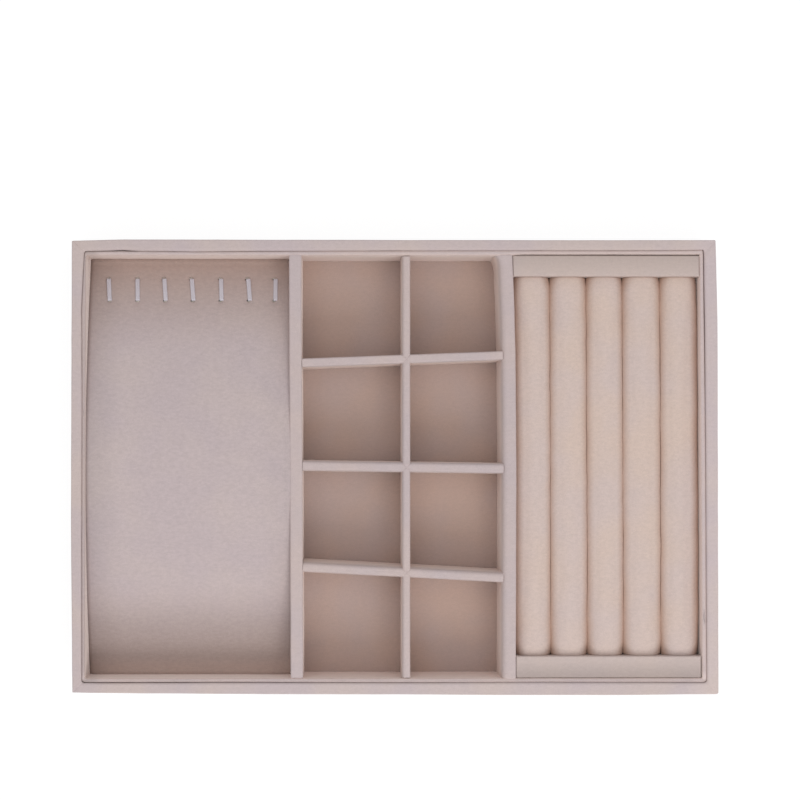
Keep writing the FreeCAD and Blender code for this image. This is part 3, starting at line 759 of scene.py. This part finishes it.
def stations_between(length, marks, crossing=None):
    """Even stations along a strip with extra ones near the marks and over a crossing."""
    count = int(length / STRIP_STATION)
    places = list(np.linspace(0, length, count + 1))
    for mark in marks:
        places = [place for place in places if abs(place - mark) > MARK_STEPS[-1]]
        for reach in MARK_STEPS:
            places += [place for place in (mark - reach, mark + reach) if 0 <= place <= length]
    if crossing:
        places = [place for place in places if not crossing[0] < place < crossing[1]]
        places += list(np.linspace(*crossing, CROSS_STEPS))
    return sorted(set(np.round(places, STATION_DIGITS)))


def slotted_faces(stations, profile, in_slot):
    """Faces of a strip without those whose middle (station, level) is in a slot."""
    faces = []
    count = len(profile)
    for face in grid_faces(len(stations), count):
        station = np.mean([stations[corner // count] for corner in face])
        level = np.mean([profile[corner % count][1] for corner in face])
        if not in_slot(station, level):
            faces.append(face)
    return faces


def make_strip(name, points, faces, body, stands_for):
    velvet = MATERIALS["divider_velvet"]
    make_piece(name, points, faces, "lining_velvet", body, stands_for, STRIP_SKIN, velvet)


# Main dividers: both stand a little askew. The right one is padded on its left face. In this section
# and the next, rounds and flares are those of the right and left face as seen from a strip's start,
# a dip is a depth, a reach and a pinch, and a fillet is an amount and a reach.

DIVIDER_ROUNDS = {"left": (0.9, 0.9), "right": (0.9, 2.4)}
DIVIDER_LAP = 0.5
DIVIDER_SHIFT = {
    "left": ((-114, 0.2), (-83, 0.05), (0, -0.3), (85, -0.85), (114, -0.9)),
    "right": ((-114, 0.05), (-80, 0.15), (0, 0.48), (60, 0.05), (85, -0.5), (103, -1.2), (114, -1.6)),
}
DIVIDER_FLARES = {"left": (0, 0), "right": (0, 1.4)}
DIVIDER_FRONT_DIP = {"left": (2.6, 2.2, 0.4), "right": (0.4, 1.5, 0.08)}
DIVIDER_REAR_DIP = (0.3, 1.5, 0.06)
DIVIDER_FILLETS = {"left": (0, 1), "right": (2.4, 5.5)}


def divider_shift(hand, y):
    """How far a main divider stands to the right of its place, from front to rear."""
    return np.interp(y, *zip(*DIVIDER_SHIFT[hand]))


def divider_face(y):
    """Place of the right divider's right face, from front to rear."""
    return box_of("main_divider_velvet_right")[1][0] + divider_shift("right", y)


def make_main_divider(hand):
    low, high = box_of(f"main_divider_velvet_{hand}")
    middle, _, lap = (low + high) / 2
    width = high[0] - low[0]
    front, rear = (middle, low[1] - DIVIDER_LAP), (middle, high[1] + DIVIDER_LAP)
    profile = fold_profile(width, low[2], lap, high[2], DIVIDER_ROUNDS[hand], DIVIDER_FLARES[hand])
    length = math.dist(front, rear)
    stations = stations_between(length, (0, length))
    dips = [(0, *DIVIDER_FRONT_DIP[hand]), (length, *DIVIDER_REAR_DIP)]
    points = strip_points(front, rear, stations, profile, SEEDS[f"{hand}_divider"], dips)
    points[..., 0] += divider_shift(hand, points[..., 1])
    amount, reach = DIVIDER_FILLETS[hand]
    left_share = np.clip(2 * np.array(profile)[:, 0] / width, 0, 1)
    points[..., 0] -= amount * end_shape(high[1] - points[..., 1], reach) * left_share
    faces = grid_faces(len(stations), len(profile))
    make_strip(f"main_divider_cover_{hand}", points, faces, "tray",
               [f"main_divider_velvet_{hand}", f"main_divider_core_{hand}"])


# The lift-out grid: a long column divider and three slanted rows, half-lapped.

ROW_SKEW = {"rear": 4.1, "middle": -1.5, "front": -5.8}
ROW_PLUMP = {"rear": 0.5, "middle": 0.6, "front": 0.3}
ROW_SHIFT = {"rear": -0.25, "middle": -0.1, "front": -0.15}
ROW_FLARES = {"rear": (0.2, 0), "middle": (0.6, 0.7), "front": (0.8, 1.0)}
COLUMN_FLARES = (0, 0.5)
GRID_FIT = 0.3
ROW_LONGER = 0.27
LAP_FIT = 0.15
LAP_OVER = 0.8
ROW_ROUNDS = {"rear": (0.9, 0.9), "middle": (0.9, 1.4), "front": (0.9, 1.6)}
COLUMN_ROUNDS = (1.0, 1.5)
ROW_END_DIP = (0.25, 1.0, 0.03)
COLUMN_END_DIP = (0.25, 1.0, 0.06)
COLUMN_TIP_DIP = (0.12, 0.8, 0.05)


def row_line(row):
    """Ends of a row divider's middle line in plan and its slope."""
    low, high = box_of(f"row_divider_velvet_{row}")
    slope = ROW_SKEW[row] / (high[0] - low[0] + 2 * GRID_FIT)
    middle = (low[1] + high[1]) / 2 + ROW_SHIFT[row]
    rise = slope * (high[0] - low[0]) / 2
    start, end = (low[0], middle - rise), (high[0], middle + rise)
    start = (start[0] + divider_shift("left", start[1]) - ROW_LONGER, start[1])
    end = (end[0] + divider_shift("right", end[1]) + ROW_LONGER, end[1])
    return start, end, slope


def grid_thickness():
    low, high = box_of("column_divider_velvet")
    return high[0] - low[0]


def make_row(row):
    start, end, _ = row_line(row)
    low, high = box_of(f"row_divider_velvet_{row}")
    column_low, column_high = box_of("column_divider_velvet")
    lap = (low[2] + high[2]) / 2
    width = grid_thickness() + ROW_PLUMP[row]
    profile = fold_profile(width, low[2], lap, high[2], ROW_ROUNDS[row], ROW_FLARES[row], CROSS_STEPS)
    length = math.dist(start, end)
    stretch = length / (end[0] - start[0])
    slot = [(edge - start[0]) * stretch for edge in (column_low[0] - LAP_FIT, column_high[0] + LAP_FIT)]
    stations = stations_between(length, (0, length, *slot), slot)
    dips = [(0, *ROW_END_DIP), (length, *ROW_END_DIP)]
    tucks = [(length, -1, DIVIDER_FLARES["right"][1]), (slot[0], -1, COLUMN_FLARES[1])]
    seed = SEEDS[f"{row}_row"]
    points = strip_points(start, end, stations, profile, seed, dips, tucks, cross=sum(slot) / 2)
    faces = slotted_faces(stations, profile, lambda place, level: slot[0] < place < slot[1] and level < lap)
    make_strip(f"row_divider_cover_{row}", points, faces, "divider_grid", [f"row_divider_velvet_{row}"])


def make_column():
    low, high = box_of("column_divider_velvet")
    middle, _, lap = (low + high) / 2
    profile = fold_profile(grid_thickness(), low[2], lap, high[2], COLUMN_ROUNDS, COLUMN_FLARES)
    length = high[1] - low[1]
    slots, tucks, places, slopes = [], [], [0], [0]
    for row in reversed(ROWS):
        start, _, slope = row_line(row)
        crossing = start[1] + slope * (middle - start[0]) - low[1]
        reach = (grid_thickness() + ROW_PLUMP[row]) / 2 * math.hypot(1, slope)
        front_lap, rear_lap = (reach - LAP_OVER * rounding for rounding in ROW_ROUNDS[row])
        slots.append((crossing - front_lap, crossing + rear_lap))
        front_flare, rear_flare = ROW_FLARES[row]
        tucks += [(crossing - front_lap, -1, front_flare), (crossing + rear_lap, 1, rear_flare)]
        places.append(crossing)
        slopes.append(-slope)
    marks = [mark for slot in slots for mark in slot]
    stations = stations_between(length, (0, length, *marks))
    dips = [(0, *COLUMN_END_DIP), (length, *COLUMN_END_DIP)] + [(mark, *COLUMN_TIP_DIP) for mark in marks]
    ends = (middle, low[1]), (middle, high[1])
    points = strip_points(*ends, stations, profile, SEEDS["column"], dips, tucks,
                          lambda station: np.interp(station, [*places, length], [*slopes, 0]))
    faces = slotted_faces(stations, profile, lambda place, level: level > lap and any(
        slot[0] < place < slot[1] for slot in slots))
    make_strip("column_divider_cover", points, faces, "divider_grid", ["column_divider_velvet"])


# The arched necklace panel and its elastic loops.

PANEL_SKIN = 0.5
PANEL_STEP = 2.4
PANEL_SLACK = 0.12
PANEL_SLACK_SIZE = 34
PANEL_LAP = 0.3
PANEL_FALL = 0.7
PANEL_FALL_REACH = 3.0
PANEL_CURL = 1.2
ARCH_RISE = 24
LOOP_COUNT = 7
LOOP_SPAN = 13.2
LOOP_WIDTH = 2.3
LOOP_THICK = 0.7
LOOP_INSET = 17
LOOP_MARGIN = 8.6
LOOP_OFFSETS = (1.0, 1.2, 0.9, 0.7, 1.1, 1.0, 0.2)
LOOP_TILTS = (1.0, 0.5, 1.1, 1.2, 0.5, 1.1, 0.0)
HOLE_HALF = (1.15, 0.95)
HOLE_OUTWARD = 0.35
HOLE_CLEAR = (2.5, 2.0)
HOLE_RINGS = (1.0, 1.25, 1.6)
HOLE_STEPS = 18
HOLE_INSIDE_SHARE = 0.98
DIMPLE = 0.3
DIMPLE_REACH = 0.8


class Arch:
    """The curved top of the necklace panel: x and the distance s along the arch from its crown."""

    def __init__(self):
        low, high = box_of("necklace_panel_velvet")
        self.left, self.right, self.half = low[0], high[0], high[1]
        self.radius = (self.half ** 2 + ARCH_RISE ** 2) / (2 * ARCH_RISE)
        self.middle = high[2] - self.radius

    def along(self, y):
        return self.radius * math.asin(y / self.radius)

    def points(self, x, s, lift):
        turn, far = s / self.radius, self.radius + lift
        return np.stack(np.broadcast_arrays(x, far * np.sin(turn), self.middle + far * np.cos(turn)), axis=-1)


def loop_ends(arch):
    """Places (x, s) where each loop goes through the panel: front and rear."""
    middle = arch.along(arch.half - LOOP_INSET)
    pitch = (arch.right - arch.left - 2 * LOOP_MARGIN) / (LOOP_COUNT - 1)
    reach = (LOOP_SPAN - LOOP_THICK) / 2
    ends = []
    for number, (offset, tilt) in enumerate(zip(LOOP_OFFSETS, LOOP_TILTS)):
        x = arch.left + LOOP_MARGIN + pitch * number + offset
        ends.append(((x + tilt / 2, middle - reach), (x - tilt / 2, middle + reach)))
    return ends


def panel_edges():
    """Left, front and rear edge of the panel's velvet at the liner, and its right one at the divider."""
    half = box_of("liner_velvet")[1][:2] - covered_width("liner_velvet", "liner_card_right")
    left = -half[0] + LINER_DRIFT["left"][0][1] - PANEL_LAP
    front = -half[1] + LINER_DRIFT["front"][0][1] - PANEL_LAP
    rear = half[1] - LINER_DRIFT["rear"][0][1] + PANEL_LAP
    right = box_of("main_divider_velvet_left")[0][0] + PANEL_LAP
    return left, front, rear, right


def make_panel(arch):
    left, front, rear, right = panel_edges()
    holes = []
    for (front_x, front_s), (rear_x, rear_s) in loop_ends(arch):
        holes += [(front_x, front_s - HOLE_OUTWARD), (rear_x, rear_s + HOLE_OUTWARD)]
    holes = np.array(holes)
    first, last = arch.along(front), arch.along(rear)
    lines_x = np.linspace(left, right, int((right - left) / PANEL_STEP) + 1)
    lines_s = np.linspace(first, last, int((last - first) / PANEL_STEP) + 1)
    flat = np.array([(x, s) for x in lines_x for s in lines_s])
    away = np.abs(flat[:, None] - holes) / HOLE_CLEAR
    flat = flat[(np.hypot(away[..., 0], away[..., 1]) > 1).all(axis=1)].tolist()
    edges = []
    turns = np.linspace(0, 2 * math.pi, HOLE_STEPS, endpoint=False)
    for hole in holes:
        start = len(flat)
        edges += [(start + step, start + (step + 1) % HOLE_STEPS) for step in range(HOLE_STEPS)]
        for scale in HOLE_RINGS:
            wide, long = np.array(HOLE_HALF) + (scale - 1) * HOLE_HALF[0]
            ring = np.column_stack((wide * np.cos(turns), long * np.sin(turns))) + hole
            flat += ring.tolist()
    made = geometry.delaunay_2d_cdt([Vector(spot) for spot in flat], edges, [], 0, NEAR)
    spots = np.array([tuple(spot) for spot in made[0]])
    faces = [tuple(face) for face in made[2] if hole_distance(spots[list(face)].mean(axis=0), holes) > 0]
    x, s = spots.T
    lift = -slack_at(np.column_stack((x, s, 0 * s)), PANEL_SLACK_SIZE, SEEDS["panel"], PANEL_SLACK)
    lift -= PANEL_FALL * end_shape(x - left, PANEL_FALL_REACH)
    lift += PANEL_CURL * end_shape(np.minimum(np.minimum(last - s, s - first), right - x), PANEL_CURL)
    beside = np.array([hole_distance(spot, holes) for spot in spots])
    lift -= DIMPLE * np.exp(-(beside / DIMPLE_REACH) ** 2)
    points = arch.points(x, s, lift)
    points[:, 0] += divider_shift("left", points[:, 1]) * (x - left) / (right - left)
    panel = make_piece("necklace_panel_cover", points, faces, "lining_velvet", "tray",
                       ["necklace_panel_velvet"], PANEL_SKIN, MATERIALS["panel_velvet"])


def hole_distance(spot, holes):
    """About how far a spot lies outside the nearest hole, in millimetres. Inside it is below zero."""
    away = (spot - holes) / HOLE_HALF
    return (np.hypot(away[:, 0], away[:, 1]).min() - HOLE_INSIDE_SHARE) * HOLE_HALF[1]


LOOP_RIBS = 5
LOOP_RIB_STEPS = 4
LOOP_RIB_DEPTH = 0.04
LOOP_ROUND = 0.14
LOOP_ROUND_SHARE = 0.12
LOOP_STATIONS = 30
LOOP_RISE = 0.4
LOOP_BOW = 0.08
LOOP_BOW_TURN = 2.4
LOOP_LEG = 2.4
LOOP_LEG_STEPS = 6
LOOP_BEND = 0.5
LOOP_BEND_STEPS = 8


def loop_section():
    """Across the elastic (sideways, thickness): a flat band with lengthwise ribs on both faces."""
    share = np.linspace(-1, 1, LOOP_RIB_STEPS * LOOP_RIBS + 1)
    rib = LOOP_RIB_DEPTH * (np.cos(share * LOOP_RIBS * math.pi) - 1)
    edge = LOOP_ROUND * end_shape(1 - np.abs(share), LOOP_ROUND_SHARE)
    upper = np.column_stack((share * LOOP_WIDTH / 2, LOOP_THICK / 2 + rib - edge))
    return np.concatenate((upper, upper[::-1] * (1, -1)))


def loop_line(reach, rise):
    """Side view of a loop (along, lift): up out of a hole, flat over the panel and down again."""
    leg = [(-reach, -LOOP_LEG)] + upright(-reach, -LOOP_LEG, rise - LOOP_BEND, LOOP_LEG_STEPS)
    bend = arc(LOOP_BEND - reach, rise - LOOP_BEND, LOOP_BEND, 2 * QUARTER, QUARTER, LOOP_BEND_STEPS)[1:]
    flat = reach - LOOP_BEND
    span = [(place, rise + LOOP_BOW * math.cos(place / flat * math.pi / 2))
            for place in np.linspace(-flat, flat, LOOP_STATIONS)[1:-1]]
    half = leg + bend
    return np.array(half + span + [(-place, lift) for place, lift in reversed(half)])


def make_loop(arch, number, ends):
    (front_x, front_s), (rear_x, rear_s) = ends
    reach = (rear_s - front_s) / 2
    line = loop_line(reach, LOOP_RISE + LOOP_BOW * math.sin(number * LOOP_BOW_TURN))
    section = loop_section()
    ahead = np.gradient(line, axis=0)
    ahead /= np.linalg.norm(ahead, axis=1)[:, None]
    share = (line[:, 0] + reach) / (2 * reach)
    x = (front_x + (rear_x - front_x) * share)[:, None] + section[:, 0]
    s = (front_s + reach + line[:, 0])[:, None] - ahead[:, 1:] * section[:, 1]
    lift = line[:, 1:] + ahead[:, :1] * section[:, 1]
    points = arch.points(x, s, lift)
    faces = tube_faces(*points.shape[:2])
    make_piece(f"elastic_loop_{number}", points, faces, "elastic", "tray", [f"necklace_loop_{number}"])


# Slabs: end bars, floor pads, foam and felt.

BEND_ANGLES = (0, 20, 40, 60, 75)
SLAB_ROWS = 4
SLAB_LEAST = 2


def slab_lines(low, high, rounding, step):
    """Grid lines from low to high, closer together in the rounding at both ends."""
    bend = rounding * (1 - np.cos(np.radians(BEND_ANGLES)))
    count = max(int((high - low) / step), SLAB_LEAST)
    middle = np.linspace(low + rounding, high - rounding, count + 1)
    return np.concatenate((low + bend, middle, high - bend[::-1]))


def slab(low, high, rounding, step, surface):
    """A closed slab with rounded upper edges. Surface(points) gives how far its top is lowered."""
    lines_x = slab_lines(low[0], high[0], rounding, step)
    lines_y = slab_lines(low[1], high[1], rounding, step)
    columns, rows = len(lines_x), len(lines_y)
    x, y = np.meshgrid(lines_x, lines_y)
    gap_x = np.maximum(0, rounding - np.minimum(x - low[0], high[0] - x))
    gap_y = np.maximum(0, rounding - np.minimum(y - low[1], high[1] - y))
    gap = np.minimum(np.hypot(gap_x, gap_y), rounding)
    z = high[2] - rounding + np.sqrt(rounding ** 2 - gap ** 2)
    top = np.column_stack((x.ravel(), y.ravel(), z.ravel()))
    top[:, 2] -= surface(top)
    faces = grid_faces(rows, columns)
    order = np.arange(rows * columns).reshape(rows, columns)
    border = np.concatenate((order[0, :-1], order[:-1, -1], order[-1, :0:-1], order[:0:-1, 0]))
    layers, ring = [top], border
    for share in np.linspace(0, 1, SLAB_ROWS + 1)[1:-1]:
        lower = top[border].copy()
        lower[:, 2] += (low[2] - lower[:, 2]) * share
        fresh = np.arange(len(border)) + sum(len(layer) for layer in layers)
        layers.append(lower)
        faces += join_rings(ring, fresh)
        ring = fresh
    base = sum(len(layer) for layer in layers)
    layers.append(np.column_stack((top[:, :2], np.full(len(top), low[2]))))
    faces += join_rings(ring, base + border)
    faces += [tuple(base + corner for corner in reversed(face)) for face in grid_faces(rows, columns)]
    return np.concatenate(layers), faces


def join_rings(upper, lower):
    after_upper, after_lower = np.roll(upper, -1), np.roll(lower, -1)
    return [tuple(int(corner) for corner in face) for face in zip(after_upper, upper, lower, after_lower)]


def orient(piece):
    """Turns every face of a closed piece outward."""
    work = bmesh.new()
    work.from_mesh(piece.data)
    bmesh.ops.recalc_face_normals(work, faces=work.faces)
    work.to_mesh(piece.data)
    work.free()


def make_slab(name, node, body, slot, rounding, step, surface, spread=0, warp=None):
    """A slab in place of a node, spread against its walls. Warp(points) gives how far its points shift."""
    low, high = box_of(node)
    out = np.array((spread, spread, 0))
    points, faces = slab(low - out, high + out, rounding, step, surface)
    if warp:
        points += warp(points)
    piece = make_piece(name, points, faces, slot, body, [node])
    orient(piece)
    return piece


INSERT_SHIFT = (-0.1, -0.5)
BAR_ROUND = 0.8
BAR_STEP = 2.2
BAR_FALL = (0.0, 0.5)
BAR_SLACK = 0.12
BAR_SLACK_SIZE = 26
BAR_PUSH = {"front": (0.0, -0.35), "rear": (0.75, 0.75)}
BAR_CLEAR = 0.1
PAD_SPREAD = 0.45
PAD_ROUND = 0.05
PAD_SLACK = 0.25
PAD_SLACK_SIZE = 20
FOAM_ROUND = 0.8
FOAM_SLACK_SIZE = 12
FELT_ROUND = 0.3
SLAB_STEP = 3.0


def insert_shift(y):
    """How far the ring cushion stands to the right of its place, from front to rear."""
    low, high = box_of("ring_insert_base")
    return np.interp(y, (low[1], high[1]), INSERT_SHIFT)


def make_bars():
    for side in ("front", "rear"):
        low, high = box_of(f"ring_bar_wrap_{side}")
        inside, outside = sorted((low[1], high[1]), key=abs)

        def across(points, values):
            share = (points[:, 1] - inside) / (outside - inside)
            return np.interp(share, (0, 1), values)

        def surface(points):
            slack = slack_at(points, BAR_SLACK_SIZE, SEEDS[f"{side}_bar"], BAR_SLACK)
            return across(points, BAR_FALL) + slack

        def warp(points):
            left = (high[0] - points[:, 0]) / (high[0] - low[0])
            sideways = insert_shift(points[:, 1])
            longer = low[0] + sideways - divider_face(points[:, 1]) - BAR_CLEAR
            sideways = sideways - np.maximum(longer, 0) * left
            return np.column_stack((sideways, across(points, BAR_PUSH[side]), 0 * sideways))

        bar = make_slab(f"ring_bar_cover_{side}", f"ring_bar_wrap_{side}", "ring_insert", "bar_suede",
                        BAR_ROUND, BAR_STEP, surface, warp=warp)
        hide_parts(f"ring_bar_core_{side}")


def follow_dividers(points):
    """Shift of the middle floor's points that keeps it against both main dividers."""
    low, high = box_of("middle_floor_pad")
    share = (points[:, 0] - low[0]) / (high[0] - low[0])
    y = points[:, 1]
    shift = (1 - share) * divider_shift("left", y) + share * divider_shift("right", y)
    return np.column_stack((shift, 0 * y, 0 * y))


def make_pads():
    def loose(size, seed):
        return lambda points: slack_at(points, size, SEEDS[seed], PAD_SLACK)

    for bay, warp in (("middle", follow_dividers), ("ring", None)):
        surface = loose(PAD_SLACK_SIZE, f"{bay}_pad")
        pad = make_slab(f"{bay}_floor_velvet", f"{bay}_floor_pad", "tray", "floor_velvet", PAD_ROUND,
                        SLAB_STEP, surface, PAD_SPREAD, warp)
    riser = make_slab("ring_riser_foam", "ring_insert_riser", "ring_insert", "foam", FOAM_ROUND,
                      SLAB_STEP, loose(FOAM_SLACK_SIZE, "riser"))


def make_felt():
    felt = make_slab("underside_felt", "base_felt", "tray", "felt", FELT_ROUND, SLAB_STEP, lambda points: 0)


# Ring rolls: plump velvet rolls, inflated by cloth simulation and pressed flat where they meet. Grooves
# have a depth in the middle and one at the ends. Side grooves are deeper by so much, left and right.

ROLL_COUNT = 5
ROLL_ACROSS = 41
ROLL_WALL_STEPS = 6
ROLL_STATION = 2.0
ROLL_GROOVES = (3.5, 6.2)
ROLL_SIDE_GROOVE = {1: (0.7, 0), 5: (0, 2.0)}
ROLL_LAP = 0.3
ROLL_FULLNESS = 4.0
ROLL_START = 0.5
ROLL_END = 8.0
ROLL_END_INSET = 0.35
ROLL_END_DROP = 0.7
ROLL_END_ROUND = 1.2
ROLL_END_LAP = 0.3
ROLL_HELD = 6
ROLL_DRIFT = (0.1, -0.8, -0.9, -1.2, -0.7, -0.2)
ROLL_CLEAR = 0.15
ROLL_WAVE = 0.25
ROLL_WAVE_SIZE = 13
ROLL_JAG = 0.13
ROLL_JAG_SIZE = 4.5
ROLL_LUMP = 0.2
ROLL_LUMP_SIZE = 18
ROLL_PLAIN_SHARE = 1 / 3
ROLL_CREASE = 0.12
ROLL_CREASE_SIZE = 9
ROLL_SLANT_SHARES = ((1 / 2, 1 / 3, 0), (-1, 2, 0), (0, 0, 1 / 2))
SIM_SCALE = 10
SIM_FRAMES = 20
SIM_PRESSURE = 4
SIM_CAP = 0.5


def roll_section(half, height, grooves):
    """Across a roll (sideways, height): upright sides and a broad crown that falls to its two grooves."""
    share = np.sin(np.linspace(math.pi / 2, -math.pi / 2, ROLL_ACROSS))
    left, right = grooves
    fall = np.where(share > 0, right, left) * np.abs(share) ** ROLL_FULLNESS
    rising = [(half, 0)] + upright(half, 0, height - right, ROLL_WALL_STEPS)[:-1]
    falling = [(-half, 0)] + upright(-half, 0, height - left, ROLL_WALL_STEPS)[:-1]
    return np.array(rising + list(zip(share * half, height - fall)) + falling[::-1])


def roll_mesh(number, low, high):
    """Start form of a roll round the middle of its foot, with drawn-in ends."""
    width, length, height = high - low - ROLL_START
    stations = slab_lines(-length / 2, length / 2, ROLL_END, ROLL_STATION)
    pull = (np.clip(1 - (length / 2 - np.abs(stations)) / ROLL_END, 0, 1) ** 2)[:, None]
    outward = np.abs(stations / (length / 2)) ** ROLL_FULLNESS
    deeper = np.array(ROLL_SIDE_GROOVE.get(number, (0, 0)))
    sections = np.array([roll_section(width / 2, height, groove + deeper)
                         for groove in np.interp(outward, (0, 1), ROLL_GROOVES)])
    side, rise = sections[..., 0], sections[..., 1]
    points = np.empty(sections.shape[:2] + (3,))
    points[..., 0] = side * (1 - pull * ROLL_END_INSET / (width / 2))
    points[..., 1] = stations[:, None]
    bulge = ROLL_END_DROP + ROLL_END_ROUND * (2 * side / width) ** 2
    points[..., 2] = rise * (1 - pull * bulge / height)
    return points.reshape(-1, 3), tube_faces(*points.shape[:2])


def apply_modifiers(piece):
    graph = bpy.context.evaluated_depsgraph_get()
    made = bpy.data.meshes.new_from_object(piece.evaluated_get(graph))
    piece.modifiers.clear()
    piece.data = made


def vertex_array(piece):
    spots = np.empty(3 * len(piece.data.vertices))
    piece.data.vertices.foreach_get("co", spots)
    return spots.reshape(-1, 3)


def set_vertices(piece, spots):
    piece.data.vertices.foreach_set("co", spots.ravel())
    piece.data.update()


def inflate(rolls):
    """Blows the rolls up with cloth pressure, their feet and ends held, and caps how far they swell."""
    starts = []
    scale = SIM_SCALE * MM
    for roll in rolls:
        spots = vertex_array(roll)
        starts.append(spots)
        held = roll.vertex_groups.new(name="held")
        ends = np.abs(spots[:, 1]) > np.abs(spots[:, 1]).max() - MM
        foot = spots[:, 2] < ROLL_HELD * scale
        held.add([int(index) for index in np.flatnonzero(ends | foot)], 1, "REPLACE")
        cloth = roll.modifiers.new("cloth", "CLOTH")
        cloth.settings.use_pressure = True
        cloth.settings.uniform_pressure_force = SIM_PRESSURE
        cloth.settings.vertex_group_mass = "held"
        cloth.settings.effector_weights.gravity = 0
        cloth.point_cache.frame_start = 1
        cloth.point_cache.frame_end = SIM_FRAMES
    scene = bpy.context.scene
    for step in range(1, SIM_FRAMES + 1):
        scene.frame_set(step)
    for roll, start in zip(rolls, starts):
        apply_modifiers(roll)
        moved = vertex_array(roll) - start
        far = np.linalg.norm(moved, axis=1)
        moved *= np.minimum(1, SIM_CAP * scale / np.maximum(far, MM * scale))[:, None]
        set_vertices(roll, start + moved)
        roll.vertex_groups.clear()
    scene.frame_set(1)


def groove_line(number, y):
    """Place of the groove left of a roll, or right of the last one, along the rolls."""
    low, high = box_of("ring_insert_base")
    place = low[0] + (high[0] - low[0]) * number / ROLL_COUNT + ROLL_DRIFT[number]
    spots = np.column_stack((0 * y, y, 0 * y))
    line = place + insert_shift(y)
    line += ROLL_WAVE * noise_at(spots, ROLL_WAVE_SIZE, SEEDS["waves"] + number)
    line += ROLL_JAG * noise_at(spots, ROLL_JAG_SIZE, SEEDS["jags"] + number)
    if number == 0:
        line = np.clip(line, divider_face(y) + ROLL_CLEAR, divider_face(y) + 2 * ROLL_CLEAR)
    return line


def finish_roll(roll, number, low, high):
    """Puts a roll in its place between two grooves, with lumps and creases."""
    spots = vertex_array(roll) / SIM_SCALE / MM
    width, _, height = high - low
    plain = height * ROLL_PLAIN_SHARE
    upper = np.clip((spots[:, 2] - plain) / plain, 0, 1)
    way = spots * np.array((1, 0, 1)) - np.array((0, 0, height / 2))
    way /= np.maximum(np.linalg.norm(way, axis=1), 1)[:, None]
    lumps = noise_at(spots, ROLL_LUMP_SIZE, SEEDS["lumps"] + number) * ROLL_LUMP
    slant = spots @ np.transpose(ROLL_SLANT_SHARES)
    creases = noise_at(slant, ROLL_CREASE_SIZE, SEEDS["creases"] + number) * ROLL_CREASE
    spots += way * ((lumps + creases) * upper)[:, None]
    share = np.clip(spots[:, 0] / (width / 2), -1, 1)
    front = box_of("ring_bar_wrap_front")[1][1] + BAR_PUSH["front"][0] - ROLL_END_LAP
    rear = box_of("ring_bar_wrap_rear")[0][1] + BAR_PUSH["rear"][0] + ROLL_END_LAP
    y = np.interp(spots[:, 1], (spots[:, 1].min(), spots[:, 1].max()), (front, rear))
    left, right = groove_line(number - 1, y), groove_line(number, y)
    x = (left + right) / 2 + share * ((right - left) / 2 + ROLL_LAP)
    z = np.clip(spots[:, 2], 0, height) + low[2]
    set_vertices(roll, np.column_stack((x, y, z)) * MM)


def make_rolls():
    rolls, boxes = [], []
    for number in range(1, ROLL_COUNT + 1):
        low, high = box_of(f"ring_roll_velvet_{number}")
        points, faces = roll_mesh(number, low, high)
        mesh = bpy.data.meshes.new(f"ring_roll_{number}")
        mesh.from_pydata((points * MM * SIM_SCALE).tolist(), [], faces)
        mesh.materials.append(MATERIALS["ring_velvet"])
        roll = add_object(f"ring_roll_{number}", mesh)
        orient(roll)
        rolls.append(roll)
        boxes.append((low, high))
    inflate(rolls)
    for number, (roll, (low, high)) in enumerate(zip(rolls, boxes), start=1):
        finish_roll(roll, number, low, high)
        roll.data.shade_smooth()
        smooth = roll.modifiers.new("smooth", "SUBSURF")
        smooth.levels = 1
        smooth.render_levels = 1
        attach(roll, "ring_insert")
        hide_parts(f"ring_roll_velvet_{number}", f"ring_roll_foam_{number}")


bpy.context.scene.view_settings.view_transform = "Standard"
make_camera()
make_sky()
make_lamps()
make_floor()
dress_frame()
make_outer_wrap()
make_liner()
for divider_hand in HANDS:
    make_main_divider(divider_hand)
for grid_row in ROWS:
    make_row(grid_row)
make_column()
panel_arch = Arch()
make_panel(panel_arch)
for loop_number, loop_pair in enumerate(loop_ends(panel_arch), start=1):
    make_loop(panel_arch, loop_number, loop_pair)
make_bars()
make_pads()
make_felt()
make_rolls()
